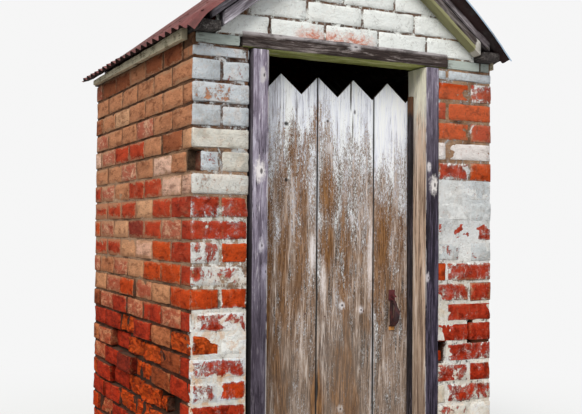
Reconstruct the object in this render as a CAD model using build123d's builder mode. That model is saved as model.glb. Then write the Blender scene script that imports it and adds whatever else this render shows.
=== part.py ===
from build123d import *
from math import cos, radians, sin, sqrt, tan
import os

# Old brick outhouse: single-skin walls, gabled corrugated roof and a ledged door that opens inward.
# X runs along the front to the right, Y from front to back, Z up. The origin lies on the ground
# in the middle of the footprint. All sizes are in millimetres.

# Brickwork
width = 1390.0
depth = 1430.0
wall = 110.0
course = 86.0
course_count = 24
mortar_bed = 8.0
left_pier_width = 230.0
right_pier_width = 282.0
floor_thickness = 40.0

# Lost bricks, counted in courses from the ground: one in the left wall, a closer beside the door
# and the corner of the front left pier
lost_side_row = 7
lost_side_start = 120.0
lost_side_length = 230.0
lost_side_depth = 45.0
lost_closer_row = 9
lost_closer_length = 42.0
lost_closer_depth = 60.0
lost_corner_row = 18
lost_corner_width = 45.0
lost_corner_depth = 60.0

# Bricks low in the left wall that stand out or have worn back: course counted from the ground,
# distance from the wall's far end, length, and how far out of the face (less than zero is worn back)
uneven_bricks = (
    (9, 8.0, 234.0, 9.0), (8, 368.0, 234.0, 13.0), (8, 128.0, 240.0, 9.0), (7, 8.0, 234.0, 12.0),
    (9, 248.0, 234.0, -26.0), (7, 248.0, 234.0, -18.0), (7, 482.0, 240.0, -12.0),
)

# Timber on the brickwork
front_plate_height = 40.0
front_plate_setback = 10.0
front_plate_end_length = 48.0
butt_gap = 4.0
wall_plate_width = 90.0
wall_plate_height = 38.0
wall_plate_overhang = 60.0

# Door frame
jamb_width = 70.0
jamb_gap = 10.0
frame_depth = 140.0
frame_proud = 8.0
beam_height = 62.0
beam_bearing_left = 36.0
beam_bearing_right = 46.0
stop_thickness = 12.0
stop_depth = 25.0
stop_top = 1914.0

# Roof
roof_angle = 38.0
iron_height_at_wall = 43.0
verge_height = 35.0
rafter_height = 47.0
rafter_thickness = 57.0
rafter_foot = 102.0
verge_foot = 52.0
batten_width = 60.0
batten_places = (70.0, 440.0, 720.0)
eave_overhang = 45.0
iron_overhang = 85.0
corrugation_pitch = 76.2
corrugation_depth = 18.0
iron_thickness = 1.6
iron_seat = 0.3
ridge_gap = 10.0
cap_wing = 130.0
cap_roll_radius = 22.0
cap_roll_lift = 12.0
fascia_thickness = 25.0
fascia_height = 46.0
fascia_drop = 1.5
fascia_setback = 10.0

# Door leaf
board_thickness = 22.0
board_width = 271.0
board_gap = 1.0
leaf_proud = 5.0
hinge_gap = 6.0
latch_gap = 8.0
door_floor_gap = 15.0
door_clearance = 5.0
tooth_tip = 1967.0
tooth_height = 78.0
tooth_pitch = 168.8
tooth_first = 103.3
tooth_skew = 9.0
ledge_height = 100.0
ledge_thickness = 22.0
ledge_inset = 30.0
ledge_places = (270.0, 1010.0, 1750.0)
brace_width = 90.0
brace_inset = 60.0

# Hook and band hinges
band_width = 35.0
band_thickness = 4.0
band_length = 330.0
eye_radius = 10.0
pin_radius = 6.0
pin_clearance = 0.3
pin_stand = 8.0
hook_boss_radius = 8.0
hook_boss_height = 18.0
hook_plate_width = 36.0
hook_plate_height = 90.0
hook_plate_thickness = 6.0
hook_clearance = 0.5

# Thumb latch
latch_from_edge = 80.0
latch_top = 1083.0
latch_plate_width = 30.0
latch_plate_height = 46.0
latch_strap_width = 16.0
latch_thickness = 3.0
latch_lug_width = 28.0
latch_lug_height = 20.0
latch_length = 171.0
grip_reach = 46.0
grip_thickness = 7.0
grip_width_top = 13.0
grip_width_low = 27.0
thumb_width = 14.0
thumb_reach = 26.0
thumb_thickness = 4.0

os.makedirs("parts", exist_ok=True)

# Edges and levels that several pieces share
left_face = -width / 2
right_face = width / 2
front_face = -depth / 2
back_face = depth / 2
wall_top = course * course_count + mortar_bed
pier_top = wall_top - front_plate_height
beam_top = pier_top + beam_height
frame_front = front_face - frame_proud
frame_back = frame_front + frame_depth
jamb_left_inner = left_face + left_pier_width + jamb_gap + jamb_width
jamb_right_inner = right_face - right_pier_width - jamb_width
door_left = jamb_left_inner + hinge_gap
door_right = jamb_right_inner - latch_gap
door_back = frame_back + leaf_proud
door_front = door_back - board_thickness
stop_back = door_front - door_clearance

slope = radians(roof_angle)
rise = tan(slope)
iron_line = wall_top + iron_height_at_wall
ridge_z = iron_line + rise * width / 2
verge_drop = verge_height / cos(slope)
rafter_drop = (verge_height + rafter_height) / cos(slope)
slope_length = (width / 2 + eave_overhang) / cos(slope)


# Brickwork
with BuildPart() as front_left_pier:
    with BuildSketch():
        with Locations((left_face, front_face)):
            Rectangle(left_pier_width, wall, align=(Align.MIN, Align.MIN))
    extrude(amount=pier_top)
    with BuildSketch(Plane.XY.offset(course * lost_corner_row)):
        with Locations((left_face, front_face)):
            Rectangle(lost_corner_width, lost_corner_depth, align=(Align.MIN, Align.MIN))
    extrude(amount=course, mode=Mode.SUBTRACT)
front_left_pier.part.label = "front_left_pier"

with BuildPart() as front_right_pier:
    with BuildSketch():
        with Locations((right_face, front_face)):
            Rectangle(right_pier_width, wall, align=(Align.MAX, Align.MIN))
    extrude(amount=pier_top)
    with BuildSketch(Plane.XY.offset(course * lost_closer_row)):
        with Locations((right_face - right_pier_width, front_face)):
            Rectangle(lost_closer_length, lost_closer_depth, align=(Align.MIN, Align.MIN))
    extrude(amount=course, mode=Mode.SUBTRACT)
front_right_pier.part.label = "front_right_pier"

with BuildPart() as right_wall:
    with BuildSketch():
        with Locations((right_face, front_face + wall)):
            Rectangle(wall, depth - 2 * wall, align=(Align.MAX, Align.MIN))
    extrude(amount=wall_top)
right_wall.part.label = "right_wall"

with BuildPart() as left_wall:
    mirror(right_wall.part, about=Plane.YZ)
    with BuildSketch(Plane.XY.offset(course * lost_side_row)):
        with Locations((left_face, front_face + lost_side_start)):
            Rectangle(lost_side_depth, lost_side_length, align=(Align.MIN, Align.MIN))
    extrude(amount=course, mode=Mode.SUBTRACT)
    for row, from_end, length, stand in uneven_bricks:
        side = Align.MAX if stand > 0 else Align.MIN
        with BuildSketch(Plane.XY.offset(course * row)):
            with Locations((left_face, back_face - wall - from_end)):
                Rectangle(abs(stand), length, align=(side, Align.MAX))
        extrude(amount=course, mode=Mode.ADD if stand > 0 else Mode.SUBTRACT)
left_wall.part.label = "left_wall"

with BuildPart() as back_wall:
    with BuildSketch():
        with Locations((0, back_face)):
            Rectangle(width, wall, align=(Align.CENTER, Align.MAX))
    extrude(amount=wall_top)
back_wall.part.label = "back_wall"

# Each gable stands between the wall plates and its top follows the underside of the battens.
gable_half = width / 2 - wall_plate_width
gable_side = iron_line + rise * wall_plate_width - verge_drop
gable_peak = ridge_z - verge_drop
beam_left = left_face + left_pier_width - beam_bearing_left
beam_right = right_face - right_pier_width + beam_bearing_right

with BuildPart() as front_gable:
    with BuildSketch(Plane.XZ.offset(-front_face - wall)):
        with BuildLine():
            Polyline(
                (-gable_half, wall_top), (gable_half, wall_top), (gable_half, gable_side),
                (0, gable_peak), (-gable_half, gable_side), close=True,
            )
        make_face()
        with Locations(((beam_left + beam_right) / 2, wall_top)):
            Rectangle(
                beam_right - beam_left + 2 * butt_gap, 2 * (beam_top - wall_top), mode=Mode.SUBTRACT
            )
    extrude(amount=wall)
front_gable.part.label = "front_gable"

with BuildPart() as back_gable:
    with BuildSketch(Plane.XZ.offset(-back_face)):
        with BuildLine():
            Polyline(
                (-gable_half, wall_top), (gable_half, wall_top), (gable_half, gable_side),
                (0, gable_peak), (-gable_half, gable_side), close=True,
            )
        make_face()
    extrude(amount=wall)
back_gable.part.label = "back_gable"

with BuildPart() as floor_slab:
    with BuildSketch():
        with Locations((0, front_face + wall)):
            Rectangle(width - 2 * wall, depth - 2 * wall, align=(Align.CENTER, Align.MIN))
        with Locations((jamb_left_inner - jamb_width, frame_back)):
            Rectangle(
                jamb_right_inner - jamb_left_inner + 2 * jamb_width, frame_depth,
                align=(Align.MIN, Align.MAX), mode=Mode.SUBTRACT,
            )
    extrude(amount=floor_thickness)
floor_slab.part.label = "floor_slab"

# Door frame
with BuildPart() as door_sill:
    with BuildSketch():
        with Locations((jamb_left_inner, frame_front)):
            Rectangle(jamb_right_inner - jamb_left_inner, frame_depth, align=(Align.MIN, Align.MIN))
    extrude(amount=floor_thickness)
door_sill.part.label = "door_sill"

with BuildPart() as left_jamb:
    with BuildSketch():
        with Locations((jamb_left_inner, frame_front)):
            Rectangle(jamb_width, frame_depth, align=(Align.MAX, Align.MIN))
    extrude(amount=pier_top)
left_jamb.part.label = "left_jamb"

with BuildPart() as right_jamb:
    with BuildSketch():
        with Locations((jamb_right_inner, frame_front)):
            Rectangle(jamb_width, frame_depth, align=(Align.MIN, Align.MIN))
    extrude(amount=pier_top)
right_jamb.part.label = "right_jamb"

with BuildPart() as head_beam:
    with BuildSketch(Plane.XY.offset(pier_top)):
        with Locations((beam_left, frame_front)):
            Rectangle(beam_right - beam_left, frame_depth, align=(Align.MIN, Align.MIN))
    extrude(amount=beam_height)
head_beam.part.label = "head_beam"

with BuildPart() as left_door_stop:
    with BuildSketch(Plane.XY.offset(floor_thickness)):
        with Locations((jamb_left_inner, stop_back)):
            Rectangle(stop_thickness, stop_depth, align=(Align.MIN, Align.MAX))
    extrude(amount=stop_top - floor_thickness)
left_door_stop.part.label = "left_door_stop"

with BuildPart() as right_door_stop:
    with BuildSketch(Plane.XY.offset(floor_thickness)):
        with Locations((jamb_right_inner, stop_back)):
            Rectangle(stop_thickness, stop_depth, align=(Align.MAX, Align.MAX))
    extrude(amount=stop_top - floor_thickness)
right_door_stop.part.label = "right_door_stop"

# Plates on the walls
left_plate_start = left_face + front_plate_setback
left_plate_end = beam_left - butt_gap
right_plate_start = beam_right + butt_gap
right_plate_end = right_face - front_plate_setback

with BuildPart() as left_front_plate:
    with BuildSketch(Plane.XY.offset(pier_top)):
        with Locations((left_plate_start, front_face)):
            Rectangle(left_plate_end - left_plate_start, wall, align=(Align.MIN, Align.MIN))
    extrude(amount=front_plate_height)
left_front_plate.part.label = "left_front_plate"

with BuildPart() as right_front_plate:
    with BuildSketch(Plane.XY.offset(pier_top)):
        with Locations((right_plate_start, front_face)):
            Rectangle(
                right_plate_end - front_plate_end_length - butt_gap - right_plate_start,
                wall, align=(Align.MIN, Align.MIN),
            )
        with Locations((right_plate_end, front_face)):
            Rectangle(front_plate_end_length, wall, align=(Align.MAX, Align.MIN))
    extrude(amount=front_plate_height)
right_front_plate.part.label = "right_front_plate"

with BuildPart() as left_wall_plate:
    with BuildSketch(Plane.XY.offset(wall_top)):
        with Locations((left_face, 0)):
            Rectangle(wall_plate_width, depth + 2 * wall_plate_overhang, align=(Align.MIN, Align.CENTER))
    extrude(amount=wall_plate_height)
left_wall_plate.part.label = "left_wall_plate"

with BuildPart() as right_wall_plate:
    mirror(left_wall_plate.part, about=Plane.YZ)
right_wall_plate.part.label = "right_wall_plate"

# Barge rafters hang on the gable faces, and the verge boards lie on them.
rafter_foot_x = left_face + rafter_foot
rafter_foot_z = iron_line + rise * rafter_foot
verge_foot_x = left_face + verge_foot
verge_foot_z = iron_line + rise * verge_foot

with BuildPart() as front_left_rafter:
    with BuildSketch(Plane.XZ.offset(-front_face)):
        with BuildLine():
            Polyline(
                (rafter_foot_x, rafter_foot_z - rafter_drop), (0, ridge_z - rafter_drop),
                (0, ridge_z - verge_drop), (rafter_foot_x, rafter_foot_z - verge_drop), close=True,
            )
        make_face()
    extrude(amount=rafter_thickness)
front_left_rafter.part.label = "front_left_rafter"

with BuildPart() as front_left_verge:
    with BuildSketch(Plane.XZ.offset(-front_face)):
        with BuildLine():
            Polyline(
                (verge_foot_x, verge_foot_z - verge_drop), (0, ridge_z - verge_drop),
                (0, ridge_z), (verge_foot_x, verge_foot_z), close=True,
            )
        make_face()
    extrude(amount=rafter_thickness)
front_left_verge.part.label = "front_left_verge"

with BuildPart() as front_right_rafter:
    mirror(front_left_rafter.part, about=Plane.YZ)
front_right_rafter.part.label = "front_right_rafter"

with BuildPart() as front_right_verge:
    mirror(front_left_verge.part, about=Plane.YZ)
front_right_verge.part.label = "front_right_verge"

with BuildPart() as back_left_rafter:
    mirror(front_left_rafter.part, about=Plane.XZ)
back_left_rafter.part.label = "back_left_rafter"

with BuildPart() as back_left_verge:
    mirror(front_left_verge.part, about=Plane.XZ)
back_left_verge.part.label = "back_left_verge"

with BuildPart() as back_right_rafter:
    mirror(back_left_rafter.part, about=Plane.YZ)
back_right_rafter.part.label = "back_right_rafter"

with BuildPart() as back_right_verge:
    mirror(back_left_verge.part, about=Plane.YZ)
back_right_verge.part.label = "back_right_verge"

# The right slope has its own plane: local x runs to the back, local y is the outward normal
# and the plane's normal points down the slope.
slope_plane = Plane(origin=(0, 0, ridge_z), x_dir=(0, 1, 0), z_dir=(cos(slope), 0, -sin(slope)))

with BuildPart() as right_battens:
    with BuildSketch(Plane.XZ.offset(front_face)) as batten_ends:
        with Locations(Location((0, ridge_z, 0), (0, 0, -roof_angle))):
            with Locations(*[(place, -verge_height / 2) for place in batten_places]):
                Rectangle(batten_width, verge_height)
    extrude(amount=depth)
right_battens.part.label = "right_battens"

with BuildPart() as left_battens:
    mirror(right_battens.part, about=Plane.YZ)
left_battens.part.label = "left_battens"

# Corrugated sheet: one wave of two arcs repeated along the roof, closed to the sheet's thickness
# and drawn out down the slope.
iron_length = depth + 2 * iron_overhang
wave_count = round(iron_length / corrugation_pitch)
wave_half = corrugation_pitch / 2
wave_start = -wave_count * corrugation_pitch / 2
wave_low = iron_seat
wave_mid = iron_seat + (corrugation_depth - iron_thickness) / 2
wave_high = iron_seat + corrugation_depth - iron_thickness

with BuildPart() as right_roof_iron:
    with BuildSketch(slope_plane.offset(ridge_gap)):
        with BuildLine():
            for layer in (0, iron_thickness):
                for wave in range(wave_count):
                    start = wave_start + wave * corrugation_pitch
                    ThreePointArc(
                        (start, wave_mid + layer), (start + wave_half / 2, wave_high + layer),
                        (start + wave_half, wave_mid + layer),
                    )
                    ThreePointArc(
                        (start + wave_half, wave_mid + layer), (start + wave_half * 1.5, wave_low + layer),
                        (start + corrugation_pitch, wave_mid + layer),
                    )
            for end in (wave_start, -wave_start):
                Line((end, wave_mid), (end, wave_mid + iron_thickness))
        make_face()
    extrude(amount=slope_length - ridge_gap)
right_roof_iron.part.label = "right_roof_iron"

with BuildPart() as left_roof_iron:
    mirror(right_roof_iron.part, about=Plane.YZ)
left_roof_iron.part.label = "left_roof_iron"

# Ridge cap: two wings on the crests that meet in a roll.
cap_seat = corrugation_depth + 2 * iron_seat
cap_peak = ridge_z + cap_seat / cos(slope)
roll_z = cap_peak + cap_roll_lift
roll_off = cap_roll_lift * cos(slope)
roll_in = cap_roll_lift * sin(slope)
roll_along = sqrt(cap_roll_radius**2 - roll_off**2) - roll_in

with BuildPart() as ridge_cap:
    with BuildSketch(Plane.XZ.offset(-wave_start)):
        with BuildLine() as cap_line:
            Polyline(
                (-cap_wing * cos(slope), cap_peak - cap_wing * sin(slope)),
                (-roll_along * cos(slope), cap_peak - roll_along * sin(slope)),
            )
            ThreePointArc(
                (-roll_along * cos(slope), cap_peak - roll_along * sin(slope)),
                (0, roll_z + cap_roll_radius),
                (roll_along * cos(slope), cap_peak - roll_along * sin(slope)),
            )
            Polyline(
                (roll_along * cos(slope), cap_peak - roll_along * sin(slope)),
                (cap_wing * cos(slope), cap_peak - cap_wing * sin(slope)),
            )
            offset(amount=iron_thickness, side=Side.LEFT)
        make_face()
    extrude(amount=2 * wave_start)
ridge_cap.part.label = "ridge_cap"

# Fascia boards close the eaves under the iron.
fascia_top = iron_line - rise * fascia_thickness - fascia_drop

with BuildPart() as left_fascia:
    with BuildSketch(Plane.XY.offset(fascia_top - fascia_height)):
        with Locations((left_face, 0)):
            Rectangle(fascia_thickness, depth - 2 * fascia_setback, align=(Align.MAX, Align.CENTER))
    extrude(amount=fascia_height)
left_fascia.part.label = "left_fascia"

with BuildPart() as right_fascia:
    mirror(left_fascia.part, about=Plane.YZ)
right_fascia.part.label = "right_fascia"

# Door boards with a saw-tooth top
door_width = door_right - door_left
first_joint = door_left + board_width
second_joint = first_joint + board_width
door_bottom = floor_thickness + door_floor_gap
tooth_root = tooth_tip - tooth_height
tooth_count = int(door_width / tooth_pitch) + 1
tooth_points = []
for tooth in range(-1, tooth_count):
    tooth_x = door_left + tooth_first + tooth * tooth_pitch
    tooth_points.append((tooth_x, tooth_tip))
    tooth_points.append((tooth_x + tooth_pitch / 2 + tooth_skew, tooth_root))


def board(board_left, board_right):
    with BuildPart() as plank:
        with BuildSketch(Plane.XZ.offset(-door_back)):
            with BuildLine():
                Polyline(
                    *tooth_points, (tooth_points[-1][0], door_bottom), (tooth_points[0][0], door_bottom),
                    close=True,
                )
            make_face()
            with Locations((board_left, door_bottom)):
                Rectangle(
                    board_right - board_left, tooth_tip, align=(Align.MIN, Align.MIN), mode=Mode.INTERSECT
                )
        extrude(amount=board_thickness)
    return plank.part


with BuildPart() as door_board_1:
    add(board(door_left, first_joint - board_gap / 2))
door_board_1.part.label = "door_board_1"

with BuildPart() as door_board_2:
    add(board(first_joint + board_gap / 2, second_joint - board_gap / 2))
door_board_2.part.label = "door_board_2"

with BuildPart() as door_board_3:
    add(board(second_joint + board_gap / 2, door_right))
door_board_3.part.label = "door_board_3"

# Ledges and braces across the back of the boards
ledge_left = door_left + ledge_inset
ledge_length = door_width - 2 * ledge_inset
ledge_back = door_back + ledge_thickness


def ledge(height):
    with BuildPart() as rail:
        with BuildSketch(Plane.XZ.offset(-ledge_back)):
            with Locations((ledge_left, height)):
                Rectangle(ledge_length, ledge_height, align=(Align.MIN, Align.CENTER))
        extrude(amount=ledge_thickness)
    return rail.part


with BuildPart() as bottom_ledge:
    add(ledge(ledge_places[0]))
bottom_ledge.part.label = "bottom_ledge"

with BuildPart() as middle_ledge:
    add(ledge(ledge_places[1]))
middle_ledge.part.label = "middle_ledge"

with BuildPart() as top_ledge:
    add(ledge(ledge_places[2]))
top_ledge.part.label = "top_ledge"

brace_left = ledge_left + brace_inset
brace_right = ledge_left + ledge_length - brace_inset

with BuildPart() as door_braces:
    with BuildSketch(Plane.XZ.offset(-ledge_back)):
        for low, high in zip(ledge_places[:-1], ledge_places[1:]):
            foot = low + ledge_height / 2
            head = high - ledge_height / 2
            with BuildLine():
                Polyline(
                    (brace_left, foot), (brace_left + brace_width, foot),
                    (brace_right, head), (brace_right - brace_width, head), close=True,
                )
            make_face()
    extrude(amount=ledge_thickness)
door_braces.part.label = "door_braces"

# Hook and band hinges: the band's eye turns on a pin that a hook plate holds behind the jamb.
hinge_x = door_left - eye_radius
hinge_y = ledge_back + band_thickness - eye_radius


def band(height):
    with BuildPart() as strap:
        with BuildSketch(Plane.XY.offset(height - band_width / 2)):
            with Locations((hinge_x, hinge_y)):
                Circle(eye_radius)
            with Locations((hinge_x, ledge_back)):
                Rectangle(band_length, band_thickness, align=(Align.MIN, Align.MIN))
            with Locations((hinge_x, hinge_y)):
                Circle(pin_radius + pin_clearance, mode=Mode.SUBTRACT)
        extrude(amount=band_width)
    return strap.part


def hook(height):
    boss_top = height - band_width / 2 - hook_clearance
    boss_base = boss_top - hook_boss_height
    pin_top = height + band_width / 2 + pin_stand
    with BuildPart() as pintle:
        with BuildSketch(Plane.XY.offset(height - hook_plate_height / 2)):
            with Locations((hinge_x, frame_back)):
                Rectangle(hook_plate_width, hook_plate_thickness, align=(Align.MAX, Align.MIN))
        extrude(amount=hook_plate_height)
        with BuildSketch(Plane.XY.offset(boss_base)):
            with Locations((hinge_x, hinge_y)):
                Circle(hook_boss_radius)
                Rectangle(2 * hook_boss_radius, hinge_y - frame_back, align=(Align.MAX, Align.MAX))
        extrude(amount=hook_boss_height)
        with BuildSketch(Plane.XY.offset(boss_base)):
            with Locations((hinge_x, hinge_y)):
                Circle(pin_radius)
        extrude(amount=pin_top - boss_base)
    return pintle.part


with BuildPart() as lower_band:
    add(band(ledge_places[0]))
lower_band.part.label = "lower_band"

with BuildPart() as upper_band:
    add(band(ledge_places[2]))
upper_band.part.label = "upper_band"

with BuildPart() as lower_hook:
    add(hook(ledge_places[0]))
lower_hook.part.label = "lower_hook"

with BuildPart() as upper_hook:
    add(hook(ledge_places[2]))
upper_hook.part.label = "upper_hook"

# Thumb latch on the front of the door: a back plate with a lug at its foot, a bowed grip that
# widens towards the bottom, and the thumb lever over it.
latch_x = door_right - latch_from_edge
latch_bottom = latch_top - latch_length
latch_face = door_front - latch_thickness
grip_top = latch_top - latch_plate_height * 0.75
grip_bottom = latch_bottom + latch_lug_height / 2
grip_middle = (grip_top + grip_bottom) / 2

with BuildPart() as latch_plate:
    with BuildSketch(Plane.XZ.offset(-door_front)):
        with Locations((latch_x, latch_top)):
            Rectangle(latch_plate_width, latch_plate_height, align=(Align.CENTER, Align.MAX))
            Rectangle(latch_strap_width, latch_length, align=(Align.CENTER, Align.MAX))
        with Locations((latch_x, latch_bottom)):
            Rectangle(latch_lug_width, latch_lug_height, align=(Align.CENTER, Align.MIN))
    extrude(amount=latch_thickness)
latch_plate.part.label = "latch_plate"

with BuildPart() as latch_grip:
    with BuildSketch(Plane.YZ.offset(latch_x - grip_width_low / 2)):
        with BuildLine():
            ThreePointArc(
                (latch_face, grip_top), (door_front - grip_reach, grip_middle), (latch_face, grip_bottom)
            )
            ThreePointArc(
                (latch_face, grip_top - grip_thickness),
                (door_front - grip_reach + grip_thickness, grip_middle),
                (latch_face, grip_bottom + grip_thickness),
            )
            Line((latch_face, grip_top), (latch_face, grip_top - grip_thickness))
            Line((latch_face, grip_bottom), (latch_face, grip_bottom + grip_thickness))
        make_face()
    extrude(amount=grip_width_low)
    with BuildSketch(Plane.XZ.offset(-door_front)):
        with BuildLine():
            Polyline(
                (latch_x - grip_width_top / 2, grip_top), (latch_x + grip_width_top / 2, grip_top),
                (latch_x + grip_width_top / 2, grip_middle + grip_width_low),
            )
            ThreePointArc(
                (latch_x + grip_width_top / 2, grip_middle + grip_width_low),
                (latch_x + grip_width_low / 2, grip_middle - grip_width_low / 2),
                (latch_x + grip_width_top / 2, grip_bottom),
            )
            Line((latch_x + grip_width_top / 2, grip_bottom), (latch_x - grip_width_top / 2, grip_bottom))
            ThreePointArc(
                (latch_x - grip_width_top / 2, grip_bottom),
                (latch_x - grip_width_low / 2, grip_middle - grip_width_low / 2),
                (latch_x - grip_width_top / 2, grip_middle + grip_width_low),
            )
            Line((latch_x - grip_width_top / 2, grip_middle + grip_width_low), (latch_x - grip_width_top / 2, grip_top))
        make_face()
    extrude(amount=grip_reach, mode=Mode.INTERSECT)
latch_grip.part.label = "latch_grip"

with BuildPart() as latch_thumb:
    with BuildSketch(Plane.YZ.offset(latch_x - thumb_width / 2)):
        with BuildLine():
            ThreePointArc(
                (latch_face, grip_top + 3 * thumb_thickness),
                (latch_face - thumb_reach / 2, grip_top + 3.3 * thumb_thickness),
                (latch_face - thumb_reach, grip_top + 2 * thumb_thickness),
            )
            ThreePointArc(
                (latch_face, grip_top + 2 * thumb_thickness),
                (latch_face - thumb_reach / 2, grip_top + 2.3 * thumb_thickness),
                (latch_face - thumb_reach, grip_top + thumb_thickness),
            )
            Line((latch_face, grip_top + 2 * thumb_thickness), (latch_face, grip_top + 3 * thumb_thickness))
            Line(
                (latch_face - thumb_reach, grip_top + thumb_thickness),
                (latch_face - thumb_reach, grip_top + 2 * thumb_thickness),
            )
        make_face()
    extrude(amount=thumb_width)
latch_thumb.part.label = "latch_thumb"

for piece in (
    front_left_pier, front_right_pier, left_wall, right_wall, back_wall, front_gable, back_gable,
    floor_slab, door_sill, left_jamb, right_jamb, head_beam, left_door_stop, right_door_stop,
    left_front_plate, right_front_plate, left_wall_plate, right_wall_plate,
    front_left_rafter, front_right_rafter, back_left_rafter, back_right_rafter,
    front_left_verge, front_right_verge, back_left_verge, back_right_verge,
    left_battens, right_battens, left_roof_iron, right_roof_iron, ridge_cap,
    left_fascia, right_fascia, door_board_1, door_board_2, door_board_3,
    bottom_ledge, middle_ledge, top_ledge, door_braces, lower_band, upper_band,
    lower_hook, upper_hook, latch_plate, latch_grip, latch_thumb,
):
    export_step(piece.part, "parts/" + piece.part.label + ".step")
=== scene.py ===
import bpy
import math
import random
import numpy as np
from mathutils import Matrix, Vector, noise


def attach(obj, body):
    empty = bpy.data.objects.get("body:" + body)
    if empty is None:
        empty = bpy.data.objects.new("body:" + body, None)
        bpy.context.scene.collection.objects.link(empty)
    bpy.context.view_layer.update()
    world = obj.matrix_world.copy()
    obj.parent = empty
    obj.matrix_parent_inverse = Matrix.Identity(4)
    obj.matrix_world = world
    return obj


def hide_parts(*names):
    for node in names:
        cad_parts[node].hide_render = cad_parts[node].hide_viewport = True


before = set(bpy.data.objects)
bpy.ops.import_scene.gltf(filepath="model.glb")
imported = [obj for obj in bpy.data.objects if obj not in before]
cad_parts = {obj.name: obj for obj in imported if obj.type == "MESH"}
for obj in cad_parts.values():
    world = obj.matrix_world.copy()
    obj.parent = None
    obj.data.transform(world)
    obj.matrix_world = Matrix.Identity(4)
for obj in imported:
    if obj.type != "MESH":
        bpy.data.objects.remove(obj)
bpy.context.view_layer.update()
print("frame loaded")

# sizes that several pieces share, in metres
shed = {
    "left": -0.695, "right": 0.695, "front": -0.715, "back": 0.715, "wall": 0.110,
    "course": 0.086, "courses": 24, "joint": 0.010, "brick": 0.230, "brickHeight": 0.076,
    "plateLevel": 2.072, "pierTop": 2.032, "leftPier": 0.230, "rightPier": 0.282,
    "roofAngle": math.radians(38), "ridge": 2.115 + math.tan(math.radians(38)) * 0.695,
}


# helpers for shapes
def deselectAll():
    if bpy.context.object and bpy.context.object.mode != "OBJECT":
        bpy.ops.object.mode_set(mode="OBJECT")
    bpy.ops.object.select_all(action="DESELECT")


def makeActive(piece):
    deselectAll()
    piece.select_set(True)
    bpy.context.view_layer.objects.active = piece


def placeInMesh(piece):
    makeActive(piece)
    bpy.ops.object.transform_apply(location=True, rotation=True, scale=True)


def addBlock(name, low, high):
    deselectAll()
    low, high = Vector(low), Vector(high)
    bpy.ops.mesh.primitive_cube_add(size=1, location=(low + high) / 2)
    piece = bpy.context.object
    piece.name = name
    piece.scale = high - low
    placeInMesh(piece)
    return piece


def addGrid(name, across, up):
    deselectAll()
    bpy.ops.mesh.primitive_grid_add(x_subdivisions=across, y_subdivisions=up, size=1)
    piece = bpy.context.object
    piece.name = name
    return piece


def addMesh(name, places, faces):
    data = bpy.data.meshes.new(name)
    data.from_pydata(places, [], faces)
    piece = bpy.data.objects.new(name, data)
    bpy.context.scene.collection.objects.link(piece)
    return piece


def editAll(piece):
    makeActive(piece)
    bpy.ops.object.mode_set(mode="EDIT")
    bpy.ops.mesh.select_all(action="SELECT")


def stopEditing():
    bpy.ops.object.mode_set(mode="OBJECT")


def cutOff(piece, point, normal):
    # takes away what lies beyond a plane and closes the cut
    editAll(piece)
    bpy.ops.mesh.bisect(plane_co=point, plane_no=normal, use_fill=True, clear_outer=True)
    stopEditing()


def roundEdges(piece, offset, segments=2):
    editAll(piece)
    bpy.ops.mesh.bevel(offset=offset, segments=segments, affect="EDGES")
    stopEditing()


def divideAlong(piece, axis, cell):
    # selects the edges that run along one axis and subdivides them
    makeActive(piece)
    data = piece.data
    spots = points(piece)
    ends = np.empty(len(data.edges) * 2, dtype=int)
    data.edges.foreach_get("vertices", ends)
    runs = spots[ends[1::2]] - spots[ends[0::2]]
    lengths = np.linalg.norm(runs, axis=1)
    chosen = np.abs(runs[:, axis]) > 0.98 * lengths
    cuts = round(lengths[chosen].max() / cell) - 1
    if cuts < 1:
        return
    bpy.ops.object.mode_set(mode="EDIT")
    bpy.ops.mesh.select_mode(type="EDGE")
    bpy.ops.mesh.select_all(action="DESELECT")
    stopEditing()
    data.edges.foreach_set("select", chosen)
    bpy.ops.object.mode_set(mode="EDIT")
    bpy.ops.mesh.subdivide(number_cuts=cuts)
    stopEditing()


def points(piece):
    found = np.empty(len(piece.data.vertices) * 3)
    piece.data.vertices.foreach_get("co", found)
    return found.reshape(-1, 3)


def pointNormals(piece):
    found = np.empty(len(piece.data.vertices) * 3)
    piece.data.vertex_normals.foreach_get("vector", found)
    return found.reshape(-1, 3)


def setPoints(piece, places):
    piece.data.vertices.foreach_set("co", np.asarray(places, dtype=float).ravel())
    piece.data.update()


def noiseAt(spots, scale, shift=0):
    return np.array([noise.noise(Vector(spot)) for spot in spots * np.array(scale) + shift])


def share(value, start, length):
    # how far a value is from start along a length, from 0 to 1
    return min(1, max(0, (value - start) / length))


def shadeSmooth(piece, angle=40):
    makeActive(piece)
    bpy.ops.object.shade_smooth_by_angle(angle=math.radians(angle))


def joinPieces(name, pieces):
    deselectAll()
    for piece in pieces:
        piece.select_set(True)
    bpy.context.view_layer.objects.active = pieces[0]
    bpy.ops.object.join()
    pieces[0].name = name
    return pieces[0]


def setMark(piece, name, values, domain="POINT"):
    mark = piece.data.attributes.new(name, "FLOAT", domain)
    mark.data.foreach_set("value", np.asarray(values, dtype=float))


def markFaces(piece, name, isMarked):
    setMark(piece, name, [isMarked(face) for face in piece.data.polygons], "FACE")


def handOver(piece, material, body, slotName, *nodes):
    piece.data.materials.clear()
    piece.data.materials.append(material)
    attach(piece, body)
    if nodes:
        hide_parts(*nodes)


# helpers for materials
class Value:
    # one output of a node; sums, products and the like of values make maths nodes in its tree
    def __init__(self, socket):
        self.socket, self.tree = socket, socket.id_data

    def __add__(self, other):
        return maths("ADD", self, other)

    def __radd__(self, other):
        return maths("ADD", other, self)

    def __sub__(self, other):
        return maths("SUBTRACT", self, other)

    def __rsub__(self, other):
        return maths("SUBTRACT", other, self)

    def __mul__(self, other):
        return maths("MULTIPLY", self, other)

    def __truediv__(self, other):
        return maths("DIVIDE", self, other)

    def __abs__(self):
        return maths("ABSOLUTE", self)


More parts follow.
